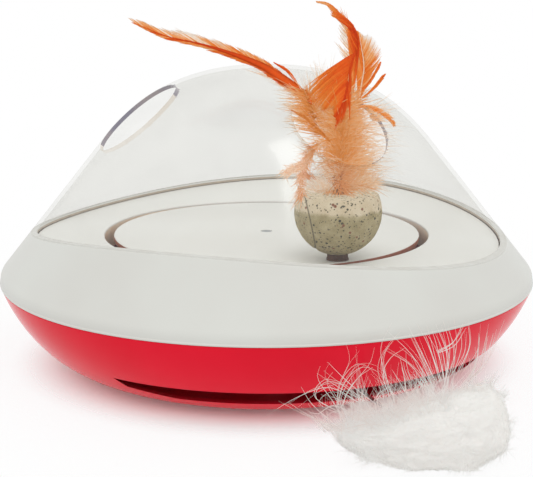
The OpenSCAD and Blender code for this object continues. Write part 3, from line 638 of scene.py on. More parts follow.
def red_bowl():
    """The red bowl, with its slot, its battery opening and the recesses under it."""
    outer = bezier(BOWL_CURVE, 48)
    inner = [(r, min(z, SEAM_Z)) for r, z in inset(outer, WALL)]
    edge = softened([(*outer[-2], 0), (*outer[-1], 0.4), (*inner[-1], 0.4), (*inner[-2], 0)])[1:-1]
    outline = [(0, STAND_OFF), *outer[:-1], *edge, *inner[-2::-1], (0, STAND_OFF + WALL)]
    mesh = turned("red_bowl", outline)
    bend_z = SLOT_LOW + SLOT_BEND_Z * (SLOT_HIGH - SLOT_LOW)
    bend_w = SLOT_W_LOW + SLOT_BEND_W * (SLOT_W_HIGH - SLOT_W_LOW)
    half = [SLOT_W_LOW / 2, bend_w / 2, SLOT_W_HIGH / 2]
    heights = [SLOT_LOW, bend_z, SLOT_HIGH]
    slot_outline = list(zip(half, heights)) + [(-w, z) for w, z in zip(half[::-1], heights[::-1])]
    facing = Matrix.Rotation(math.radians(SLOT_AZ), 4, "Z") @ Matrix.Rotation(math.radians(90), 4, "X")
    door = at(DOOR_AZ, DOOR_OUT)
    cutters = [
        prism(slot_outline, 0, SEAM_R + PAST, facing),
        prism(DOOR_OUTLINE, -PAST, STAND_OFF + DOOR_RECESS, door),
        prism(oblong(*CELL_OPENING), -PAST, STAND_OFF + WALL + PAST, door),
        prism(oblong(*SWITCH_OPENING), -PAST, STAND_OFF + WALL + PAST, at(SWITCH_AZ, SWITCH_OUT)),
    ]
    feet = [at(0)] + [at(az, FEET_OUT) for az in FEET_AZ]
    cutters += [prism(circle(FOOT_R), -PAST, STAND_OFF + FOOT_RECESS, place) for place in feet]
    cutters += [prism(circle(SCREW_RECESS_R, 48), -PAST, SCREW_RECESS_TOP, at(az, POST_OUT)) for az in POST_AZ]
    mesh = carved(mesh, cutters)
    true_normals(mesh, outline)
    return piece("red_bowl", mesh, "base", "red_gloss", "base_bowl")


def tube(outer_r, inner_r, low, high, recess_r, recess_top):
    """An upright tube with eased edges and a wider recess from below, as a closed outline."""
    return softened([(outer_r, low, 0.2), (outer_r, high, 0.5), (inner_r, high, 0.3),
                     (inner_r, recess_top, 0.1), (recess_r, recess_top, 0.1), (recess_r, low, 0.2)])


def bowl_bosses():
    """Posts and bosses that stand up from the bowl's floor and hold the drive."""
    floor = STAND_OFF + WALL
    wall_r, wall_heights = zip(*bezier(BOWL_CURVE, 48))
    wag_low = span("wag_arm")[0].z
    # Each one's place, outer and inner radius, top and the radius of the recess below
    stands = [((0, 0), 9.0, SPINDLE_HOLE_R, wag_low - GAP, 3.2),
              (((idler_low + idler_high) / 2)[:2], 4.0, 1.55, motor_high.z + 1.5, 1.7),
              (((motor_low + motor_high) / 2)[:2], 12.5, 10.05, motor_low.z + 5, 10.2)]
    stands += [((heading(az) * POST_OUT)[:2], 5.5, 1.75, SEAM_Z - 13, SCREW_RECESS_R) for az in POST_AZ]
    joined = bmesh.new()
    for (x, y), outer_r, inner_r, top, recess_r in stands:
        recess_top = min(SCREW_RECESS_TOP, top - 1)
        outline = tube(outer_r, inner_r, floor - 1, top, recess_r, recess_top)
        mesh = turned("boss", outline, 48)
        mesh.transform(Matrix.Translation(Vector((x, y, 0)) * MM))
        for vertex in mesh.vertices:
            wall_z = np.interp(math.hypot(vertex.co.x, vertex.co.y) / MM, wall_r, wall_heights)
            vertex.co.z = max(vertex.co.z, (wall_z + WALL / 2) * MM)
        joined.from_mesh(mesh)
    mesh = bpy.data.meshes.new("bowl_bosses")
    joined.to_mesh(mesh)
    joined.free()
    mesh.shade_smooth()
    mesh.set_sharp_from_angle(angle=math.radians(SHARP))
    return piece("bowl_bosses", mesh, "base", "red_gloss")


def white_shell():
    """The white conical shell: bead at the seam, rounded shoulder, and a rim that follows the saddle."""
    low_z = SEAM_Z + 0.05

    def section(azimuth):
        out = rim_r(azimuth)
        top = saddle_z(out * math.sin(math.radians(azimuth)))
        inside = rim_r(azimuth, CONE_WALL)
        inside_top = saddle_z(inside * math.sin(math.radians(azimuth)))
        bead = [(SEAM_R - BEAD_R / 2 + BEAD_R * math.cos(a), low_z + BEAD_R + BEAD_R * math.sin(a))
                for a in [math.radians(d) for d in range(-90, 61, 15)]]
        shoulder = bezier([(SEAM_R, SEAM_Z + SHOULDER_EDGE), (SEAM_R, SEAM_Z + SHOULDER_RISE - SHOULDER_PULL),
                           (SEAM_R - SHOULDER_IN + SHOULDER_EDGE * CONE_SLOPE, SEAM_Z + SHOULDER_RISE - SHOULDER_EDGE),
                           (SEAM_R - SHOULDER_IN, SEAM_Z + SHOULDER_RISE)], 16)
        wall = [(cone_r(z), z) for z in np.linspace(SEAM_Z + SHOULDER_RISE, top - 0.8, 12)[1:]]
        rim = softened([(*wall[-1], 0), (out, top, 0.6), (inside, inside_top, 0.25), (inside, inside_top - RIM_BAND_H, 0)])
        inner = [(cone_r(z) - CONE_WALL, z) for z in np.linspace(inside_top - RIM_BAND_H - 1.5, SEAM_Z + SHOULDER_RISE, 8)]
        foot = [(SEAM_R - WALL, SEAM_Z + 4), (SEAM_R - WALL, low_z)]
        return bead + shoulder + wall[:-1] + rim + inner + foot

    mesh = turned("white_shell", section, 240)
    for face in mesh.polygons:
        x, y, z = face.center / MM
        # The rim's inner face just under its top takes the band of painted shade
        in_shade_band = z > SEAM_Z + SHOULDER_RISE and 0.25 < saddle_z(x) - z < RIM_BAND_H
        face.material_index = int(in_shade_band and face.normal.dot((x, y, 0)) < 0)
    return piece("white_shell", mesh, "base", "white_shell", "mid_shell", materials=[FINISHES["white_shell"], RIM_SHADE_BAND])


def white_deck():
    """The dish inside the rim, with a rolled inner edge and a skirt around the turntable."""
    def section(azimuth):
        out = rim_r(azimuth, CONE_WALL + GAP)
        top = saddle_z(out * math.sin(math.radians(azimuth))) - DECK_DROP
        return softened([
            (DECK_IN_R, DECK_Z - DECK_SKIRT, 0.3), (DECK_IN_R, DECK_Z, 1.0), (out, top, 0.5),
            (out - DECK_T, top - DECK_T, 0.3), (DECK_IN_R + DECK_T, DECK_Z - DECK_T, 0),
            (DECK_IN_R + DECK_T, DECK_Z - DECK_SKIRT, 0.3)])

    mesh = turned("white_deck", section, 240)
    for face in mesh.polygons:
        x, y, z = face.center / MM
        # The wall inside the ring gap takes the painted red bounce
        face.material_index = int(math.hypot(x, y) < DECK_IN_R + 0.1 and z < DECK_Z - 0.8)
    return piece("white_deck", mesh, "base", "white_shell", "deck_ring", materials=[DECK_WHITE, GAP_WALL])


def dome_curve():
    """The crown's outside, from the cone's end to the top."""
    crown_r = cone_r(CROWN_Z)
    reach = 0.72 * (DOME_TOP_Z - CROWN_Z)
    return bezier([(crown_r, CROWN_Z), (crown_r - CONE_SLOPE * reach, CROWN_Z + reach),
                   (crown_r * 0.43, DOME_TOP_Z), (0, DOME_TOP_Z)], 56)


def clear_dome():
    """The clear dome: the cone carried on into a rounded crown, with two paw holes."""
    crown = dome_curve()
    crown_in = inset(crown, DOME_WALL)[:-1] + [(0, DOME_TOP_Z - DOME_WALL)]
    slant = DOME_WALL * math.hypot(1, CONE_SLOPE)

    def section(azimuth):
        side = math.sin(math.radians(azimuth))
        out, inside = rim_r(azimuth, 0, GAP), rim_r(azimuth, slant, GAP)
        low, low_in = saddle_z(out * side) + GAP, saddle_z(inside * side) + GAP
        wall = [(cone_r(z), z) for z in np.linspace(low + 1, CROWN_Z, 20)[:-1]]
        wall_in = [(cone_r(z) - slant, z) for z in np.linspace(crown_in[0][1], low_in + 1, 20)[1:]]
        edge = softened([(*wall_in[-1], 0), (inside, low_in, 0.5), (out, low, 0.5), (*wall[0], 0)])[1:-1]
        return edge + wall + crown + crown_in[::-1] + wall_in

    mesh = turned("clear_dome", section)
    hole_out = np.interp(PAW_HOLE_Z, [z for r, z in crown], [r for r, z in crown])
    lean = Matrix.Rotation(math.radians(90 - PAW_HOLE_TILT), 4, "X")
    finishes = [FINISHES["clear_dome"], DOME_EDGE, DOME_FOOT, DOME_BRINK]
    holes = [at(az, hole_out, PAW_HOLE_Z) @ lean for az in (PAW_HOLE_AZ, -PAW_HOLE_AZ)]
    mesh = carved(mesh, [prism(circle(PAW_HOLE_R, 128), -PAW_HOLE_PLUG, PAW_HOLE_PLUG, place) for place in holes])
    for face in mesh.polygons:
        spot = face.center / MM
        off = [abs((place.inverted() @ face.center).xy.length / MM - PAW_HOLE_R) for place in holes]
        if spot.z < saddle_z(spot.x) + GAP + DOME_FOOT_RISE:
            face.material_index = finishes.index(DOME_FOOT)
        elif min(off) < PAW_HOLE_NEAR:
            middle = holes[off.index(min(off))].translation
            # Hole edges take painted reflection by side: the far, right-hand side a dark grey-violet line, the near
            # side a faint warm one
            beyond = (face.center - middle).dot(RIGHT * 0.5 - FACE) > 0
            face.material_index = finishes.index(DOME_EDGE if beyond else DOME_BRINK)
    low = RIM_LOW_Z
    outline = [(cone_r(low), low), *crown, *crown_in[::-1], (cone_r(low) - slant, low)]
    true_normals(mesh, outline)
    return loose(piece("clear_dome", mesh, "base", "clear_dome", "clear_dome", materials=finishes))


def turntable():
    """The white disc: eased rim, screw recess in the middle, a skirt below and the hub tube."""
    skirt_r = TABLE_R - TABLE_SKIRT_IN
    skirt_in_r = skirt_r - TABLE_SKIRT_T
    hub_low = table_low.z
    under = DECK_Z - TABLE_T
    skirt_low = under - TABLE_SKIRT
    recess_z = DECK_Z - CENTRE_RECESS
    outline = softened([
        (CENTRE_RECESS_R, recess_z, 0), (CENTRE_RECESS_R, DECK_Z, 0.3), (TABLE_R, DECK_Z, 1.0), (TABLE_R, under, 0.6),
        (skirt_r, under, 0), (skirt_r, skirt_low, 0.3), (skirt_in_r, skirt_low, 0.3), (skirt_in_r, under, 0),
        (HUB_R, under, 0.4), (HUB_R, hub_low, 0.3), (SPINDLE_HOLE_R, hub_low, 0.3), (SPINDLE_HOLE_R, under, 0),
        (CENTRE_HOLE_R, under, 0), (CENTRE_HOLE_R, recess_z, 0)])
    mesh = turned("turntable", outline)
    for face in mesh.polygons:
        x, y, z = face.center / MM
        # The rim and skirt down in the ring gap take the painted shade
        face.material_index = int(math.hypot(x, y) > TABLE_R - 4 and z < DECK_Z - 0.7)
    return piece("turntable", mesh, "rotor", "white_shell", "turntable", materials=[DECK_WHITE, TABLE_RIM])


def catnip_ball():
    """The pressed ball: a flat top with a worn edge, a skin of crumbs and a seam down its left."""
    flat_r = math.sqrt(BALL_R ** 2 - BALL_FLAT ** 2)
    top_angle = math.degrees(math.asin(BALL_FLAT / BALL_R))
    edge_r = flat_r * BALL_EDGE_IN
    side = [(BALL_R * math.cos(math.radians(a)), BALL_R * math.sin(math.radians(a)))
            for a in np.linspace(-84, top_angle - 1.5, 70)]
    shoulder = softened([(*side[-1], 0), (flat_r, BALL_FLAT, 0.6), (edge_r, BALL_FLAT, 0)])[1:-1]
    top = [(r, BALL_FLAT) for r in np.linspace(edge_r, FERRULE_HOLE_R, 16)]
    bore = [(FERRULE_HOLE_R, BALL_FLAT - 6), (2.2, -BALL_R + 12), (2.05, -BALL_R + 0.2)]
    outline = side + shoulder + top + bore
    mesh = turned("catnip_ball", outline, 200)
    for vertex, way in zip(mesh.vertices, [v.normal.copy() for v in mesh.vertices]):
        spot = vertex.co / MM
        crumb = noise.fractal(spot / 1.7, 0.9, 2.1, 4) * 0.1 + noise.noise(spot / 7) * 0.1
        split = 0.3 * math.exp(-((spot.dot(SEAM_WAY) + SEAM_OUT) / 0.6) ** 2)
        vertex.co += way * (crumb - 0.1 - split) * MM
    mesh.transform(Matrix.Translation(BALL * MM))
    mesh.shade_smooth()
    return piece("catnip_ball", mesh, "rotor", "catnip", "catnip_ball")


def ball_seat():
    """The dark seat under the ball: a cup on a low foot, coloured with the ball's painted contact shadow."""
    low = DECK_Z + 0.02
    outline = softened([
        (SEAT_PIN_R, low, 0), (5.3, low, 0.1), (5.3, low + 0.7, 0.3), (4.9, low + 1.2, 0.4), (5.0, low + 2.9, 0.1),
        (4.2, low + 2.6, 0), (SEAT_PIN_R, low + 2.3, 0)])
    mesh = turned("ball_seat", outline, 96)
    mesh.transform(Matrix.Translation(Vector((BALL.x, BALL.y, 0)) * MM))
    return piece("ball_seat", mesh, "rotor", "dark_plastic", "ball_pedestal", materials=[SEAT])


# Feathers and down, made of tapering strands
BARB_RINGS = 6
BARBS_IN_CLUMP = 9


def spray(across, up, out=0.0):
    """A place in the spray of feathers, from the ferrule's top: across, up and towards its face."""
    return ROOT + RIGHT * across + UP * up + FACE * out


def unit(v):
    """Vectors brought to length 1."""
    return v / np.maximum(np.linalg.norm(v, axis=-1, keepdims=True), 1e-9)


def strands(paths, widths, faces, shades, flat=0.35):
    """Points, triangles and shades of strands with three sides that taper along their paths."""
    paths, shades = np.asarray(paths, float), np.asarray(shades, float)
    count, rings = paths.shape[:2]
    ahead = unit(np.gradient(paths, axis=1))
    side = unit(np.cross(ahead, faces))
    up = np.cross(side, ahead)
    wide = np.asarray(widths, float)[..., None]
    corners = np.stack([paths - wide * side, paths + wide * side, paths + wide * flat * 2 * up], axis=2)
    base = (np.arange(count) * rings * 3)[:, None, None] + (np.arange(rings - 1) * 3)[None, :, None]
    k = np.arange(3)[None, None]
    a, b = base + k, base + (k + 1) % 3
    quads = np.stack([a, b, b + 3, a + 3], axis=-1).reshape(-1, 4)
    first = (np.arange(count) * rings * 3)[:, None] + np.array([[2, 1, 0]])
    last = (np.arange(count) * rings * 3 + (rings - 1) * 3)[:, None] + np.array([[0, 1, 2]])
    return corners.reshape(-1, 3), quads, np.concatenate([first, last]), np.repeat(shades.reshape(-1), 3)


def strand_mesh(name, groups):
    """One mesh of groups of strands, with each point's shade as an attribute."""
    points, quads, caps, shades, total = [], [], [], [], 0
    for p, q, c, s in groups:
        points.append(p)
        quads.append(q + total)
        caps.append(c + total)
        shades.append(s)
        total += len(p)
    quads, caps = np.concatenate(quads), np.concatenate(caps)
    mesh = bpy.data.meshes.new(name)
    mesh.vertices.add(total)
    mesh.vertices.foreach_set("co", (np.concatenate(points) * MM).ravel())
    mesh.loops.add(quads.size + caps.size)
    mesh.loops.foreach_set("vertex_index", np.concatenate([quads.ravel(), caps.ravel()]))
    mesh.polygons.add(len(quads) + len(caps))
    starts = np.concatenate([np.arange(len(quads)) * 4, quads.size + np.arange(len(caps)) * 3])
    mesh.polygons.foreach_set("loop_start", starts)
    mesh.update(calc_edges=True)
    mesh.validate()
    shade = mesh.attributes.new("shade", "FLOAT", "POINT")
    shade.data.foreach_set("value", np.concatenate(shades).astype(np.float32))
    mesh.shade_smooth()
    return mesh


def smooth_run(points, count):
    """Points evenly along a smooth curve through a route."""
    points = np.array([tuple(p) for p in points], float)
    padded = np.vstack([2 * points[0] - points[1], points, 2 * points[-1] - points[-2]])
    fine = []
    for i in range(len(points) - 1):
        p0, p1, p2, p3 = padded[i:i + 4]
        for t in np.linspace(0, 1, 24, endpoint=False):
            fine.append(0.5 * (2 * p1 + (p2 - p0) * t + (2 * p0 - 5 * p1 + 4 * p2 - p3) * t * t
                               + (3 * p1 - p0 - 3 * p2 + p3) * t ** 3))
    fine.append(points[-1])
    fine = np.array(fine)
    walked = np.concatenate([[0], np.cumsum(np.linalg.norm(np.diff(fine, axis=0), axis=1))])
    even = np.linspace(0, walked[-1], count)
    return np.stack([np.interp(even, walked, fine[:, k]) for k in range(3)], axis=1)


def curve(points, count):
    """Points evenly along a smooth curve through places in the spray of feathers."""
    return smooth_run([spray(*p) for p in points], count)


def barb_row(spine, side, reach, lean, shade, rng, spacing=0.3, cup=0.1, ragged=0.12, split=0.1, streaky=1.0,
             wide=None):
    """Barbs along one side of a quill. Reach, lean from the quill and shade run from its root to its tip."""
    length = np.linalg.norm(np.diff(spine, axis=0), axis=1).sum()
    count = int(length / spacing)
    along = (np.arange(count) + 0.5) / count
    place = along * (len(spine) - 1)
    low = np.minimum(place.astype(int), len(spine) - 2)
    part = (place - low)[:, None]
    roots = spine[low] * (1 - part) + spine[low + 1] * part
    ahead = unit(spine[low + 1] - spine[low])
    face = np.array(FACE)
    out = unit(np.cross(ahead, face)) * side
    clump = np.cumsum(rng.random(count) < 1 / BARBS_IN_CLUMP)
    swing = rng.normal(0, split, clump.max() + 1)[clump] + rng.normal(0, split * 0.15, count)
    angle = np.radians(np.interp(along, np.linspace(0, 1, len(lean)), lean)) + swing
    way = np.cos(angle)[:, None] * ahead + np.sin(angle)[:, None] * out
    grow = 1 + rng.normal(0, ragged, clump.max() + 1)[clump] + rng.normal(0, ragged * 0.4, count)
    size = np.interp(along, np.linspace(0, 1, len(reach)), reach) / np.maximum(np.sin(angle), 0.3) * grow
    t = np.linspace(0, 1, BARB_RINGS)
    bend = 0.16 * ahead - 0.1 * out - cup * face + rng.normal(0, 0.025, (count, 3))
    paths = roots[:, None] + size[:, None, None] * (
        t[None, :, None] * way[:, None] + (t * t)[None, :, None] * bend[:, None])
    paths += face * rng.uniform(-0.12, 0.12, count)[:, None, None]
    taper = np.interp(t, [0, 0.6, 1], [1, 0.85, 0.15])
    widths = (wide or spacing * 0.95) * taper[None] * rng.uniform(0.7, 1.15, count)[:, None]
    tone = np.interp(along, np.linspace(0, 1, len(shade)), [s[0] for s in shade])
    tone_end = np.interp(along, np.linspace(0, 1, len(shade)), [s[1] for s in shade])
    shades = tone[:, None] + (tone_end - tone)[:, None] * t[None] ** 1.3
    shades += streaky * (rng.normal(0, 0.06, clump.max() + 1)[clump] + rng.normal(0, 0.05, count))[:, None]
    return strands(paths, widths, np.broadcast_to(face, paths.shape), np.clip(shades, 0, 1))


def quill(spine, thick, shade, flat=0.4):
    """The quill itself, tapering to the tip; its shade runs from root to tip."""
    along = np.linspace(0, 1, len(spine))
    widths = np.interp(along, np.linspace(0, 1, len(thick)), thick)
    shades = np.interp(along, np.linspace(0, 1, len(shade)), shade)
    faces = np.broadcast_to(np.array(FACE), (1, len(spine), 3))
    return strands(spine[None] + np.array(FACE) * 0.2, widths[None], faces, shades[None], flat)


def feather(name, groups, finish=FINISHES["orange_feather"]):
    """Puts a feather's strands on the turntable."""
    return loose(piece(name, strand_mesh(name, groups), "rotor", "orange_feather", name, materials=[finish]))


def from_root(points):
    """Feather route points, given from the ferrule's top."""
    return [ROOT + Vector(p) for p in points]


LONG_ROUTE = from_root([
    (-3.5, -1.5, 22.5), (-7.5, -2.5, 31.5), (-12.5, -2.5, 37.5), (-19.5, -1.5, 41.5), (-28.5, -0.5, 46.5),
    (-39.5, 2.5, 51.5), (-53.5, 1.5, 57.5), (-68.5, -2.5, 63.5), (-84.5, -6.5, 69.5), (-99.5, -11.5, 74.5)])
PLUME_ROUTE = from_root([
    (0, 0, 0.5), (0.5, -0.5, 6.5), (1, -0.5, 13.5), (1.5, -0.5, 20.5), (1.5, -0.5, 28.5), (1, -0.5, 35.5),
    (0.5, -0.5, 40.5)])


def long_feather():
    """The long lance: a narrow lower vane, a paler upper vane, a red quill between them and down at its root."""
    rng = np.random.default_rng(11)
    lifts = (1.5, 2.0, 2.2, 2.5, 3.2, 3.4, 2.4, 1.0, -1.4, 0.0)
    spine = smooth_run([p + UP * lift for p, lift in zip(LONG_ROUTE, lifts)], 160)[24:158]
    strand = curve([(-16.1, 42.5, 3), (-18.7, 46.8, 3.2), (-23.6, 53.2, 3), (-29.6, 57.5, 2.4)], 40)
    groups = [
        barb_row(spine, 1, [2.4, 2.8, 3.4, 4.0, 4.4, 4.4, 4.2, 3.6, 1.6], [26, 25, 24, 23, 23, 24],
                 [(0.15, 0.25), (0.15, 0.35), (0.42, 0.8), (0.58, 0.95), (0.62, 1.0), (0.55, 0.9)], rng,
                 spacing=0.22, split=0.025, ragged=0.06, streaky=2.2),
        barb_row(spine, -1, [3.4, 4.0, 3.6, 3.0, 2.7, 2.3, 1.8, 1.3, 0.5], [26, 24, 20, 18, 16, 14],
                 [(0.22, 0.35), (0.18, 0.3), (0.25, 0.45), (0.36, 0.6), (0.4, 0.6), (0.3, 0.4)], rng,
                 spacing=0.22, split=0.025, ragged=0.06, streaky=1.6),
        barb_row(spine[14:56] - np.array(FACE), -1, [5, 5.5, 4.5, 3], [30, 24, 20], [(0.85, 1.0), (0.9, 1.0)], rng,
                 spacing=0.7, split=0.1, ragged=0.3, wide=0.13),
        quill(spine, [2.1, 2.3, 1.6, 0.9, 0.4, 0.2, 0.08], [0.26, 0.2, 0.1, 0.02, 0.0, 0.1], 0.1)]
    for side in (-1, 1):
        groups.append(barb_row(strand, side, [0.5, 0.9, 0.8, 0.2], [16, 12], [(0.25, 0.45), (0.15, 0.4)], rng))
    return feather("long_feather", groups)


def upright_feather():
    """The upright feather: its deep red edge on the right, paling to the left, and a tan tip that curls over."""
    rng = np.random.default_rng(12)
    spine = curve([(5.3, 39.4, 6), (7, 48, 7), (8, 55.6, 7.5), (8.8, 63, 8), (8.5, 68.2, 8.5), (7, 72, 9),
                   (4.7, 75.2, 9.4), (0.3, 78.9, 9.8), (-3, 82.2, 10.2), (-6.5, 84, 10.6), (-10.5, 84.4, 11)], 130)
    groups = [
        barb_row(spine, -1, [2.5, 3, 5, 8, 9.5, 9, 6.5, 3.4, 2.2, 1.7, 0.2], [26, 26, 30, 34, 36, 36, 32, 24],
                 [(0.45, 0.6), (0.42, 0.58), (0.38, 0.55), (0.25, 0.58), (0.08, 0.6), (0.02, 0.58), (0.0, 0.55),
                  (0.08, 0.5), (0.42, 0.6), (0.68, 0.78), (0.72, 0.8)], rng, spacing=0.2, split=0.02, ragged=0.06),
        barb_row(spine[34:80] - np.array(FACE), -1, [8, 11, 12, 10.5, 8, 5.5], [58, 60, 56, 48, 38, 30],
                 [(0.8, 0.98), (0.85, 1.0), (0.88, 0.98)], rng, spacing=0.3, split=0.06, ragged=0.14),
        barb_row(spine, 1, [0.5, 0.6, 0.5, 0.5, 0.4, 0.2], [20, 20],
                 [(0.45, 0.5), (0.3, 0.4), (0.02, 0.1), (0.3, 0.4), (0.7, 0.78)], rng, spacing=0.22, split=0.02),
        quill(spine, [0.6, 0.5, 0.3, 0.1], [0.45, 0.35, 0.02, 0.05, 0.4, 0.75])]
    return feather("upright_feather", groups)


def broad_feather():
    """The broad feather: a folded blade that hangs to a point, a vane standing to its right and a bent arm."""
    rng = np.random.default_rng(13)
    blade = curve([(6.8, 60.8, 11.5), (5.6, 57, 12.5), (4.4, 52.5, 13), (3.6, 47, 13), (2.4, 41, 13),
                   (0.2, 35.6, 12.5), (-1.6, 32, 12)], 90)
    stand = curve([(9.2, 39.6, 5), (10.5, 48, 5.5), (11.4, 53.6, 6), (11.1, 59, 6.5), (10.2, 64, 7),
                   (9.2, 70.5, 7)], 90)
    arm = curve([(6, 35.5, 7), (11.5, 36.8, 8), (16.6, 35, 9), (22.5, 31.3, 9.5), (25, 27.8, 9.5)], 50)
    strays = [curve([(10, 43, 7), (14, 48, 8), (18.8, 56.6, 9)], 30),
              curve([(10.5, 40.5, 7), (15, 44.5, 8), (20.8, 51.2, 9)], 30)]
    groups = [
        barb_row(blade, 1, [17.5, 17, 14, 9.5, 4.5, 2.2, 0.3], [43, 44, 38, 20],
                 [(0.16, 0.6), (0.24, 0.6), (0.2, 0.56), (0.08, 0.32), (0.1, 0.18)], rng, spacing=0.2, split=0.012,
                 ragged=0.03, cup=0.03, wide=0.34),
        barb_row(blade, -1, [0.8, 2.0, 3.0, 3.6, 3.6, 2.6, 0.3], [26, 24, 20, 16],
                 [(0.1, 0.3), (0.12, 0.4), (0.06, 0.3), (0.05, 0.15)], rng, spacing=0.22, split=0.03, cup=0.03),
        barb_row(stand, 1, [0.6, 3.5, 6.6, 8, 7.4, 5.4, 2.2, 0.4], [44, 44, 42, 38],
                 [(0.42, 0.6), (0.4, 0.62), (0.4, 0.75), (0.45, 0.95), (0.5, 0.95)], rng, spacing=0.2, split=0.012,
                 ragged=0.04, streaky=1.6),
        barb_row(stand, -1, [2, 4.5, 5, 4.5, 3, 0.6], [26, 24], [(0.42, 0.55), (0.4, 0.55)], rng, split=0.02),
        barb_row(arm, 1, [0.8, 1.0, 1.2, 1.2, 0.4], [32, 28], [(0.58, 0.85), (0.55, 0.8)], rng, split=0.2),
        barb_row(arm, -1, [0.6, 1.0, 1.8, 2.0, 0.6], [36, 32], [(0.58, 0.9), (0.55, 0.85)], rng, split=0.25),
        quill(blade, [0.4, 0.5, 0.3], [0.05, 0.0]), quill(stand, [0.4, 0.3, 0.1], [0.85, 0.9])]
    for spine in strays:
        for side in (-1, 1):
            groups.append(barb_row(spine, side, [0.3, 0.9, 1.1, 0.2], [20, 14], [(0.4, 0.5), (0.35, 0.55)], rng,
                                   split=0.04))
    return feather("broad_feather", groups)


def scatter(rng, roots, ways, bends, lengths, widths, shade, tone, rings=6):
    """Curved strands from their roots; the shade runs from root to end, and each strand's tone is added to it."""
    t = np.linspace(0, 1, rings)
    paths = roots[:, None] + lengths[:, None, None] * (
        t[None, :, None] * ways[:, None] + (t * t)[None, :, None] * bends[:, None])
    taper = np.interp(t, [0, 0.5, 1], [1, 0.8, 0.25])
    faces = unit(rng.normal(0, 1, (len(roots), 1, 3)) + np.array(FACE) * 0.6)
    shades = (shade[0] + tone)[:, None] * (1 - t) + (shade[1] + tone)[:, None] * t
    return strands(paths, np.broadcast_to(widths, len(roots))[:, None] * taper[None],
                   np.broadcast_to(faces, paths.shape), np.clip(shades, 0, 1), 0.5)


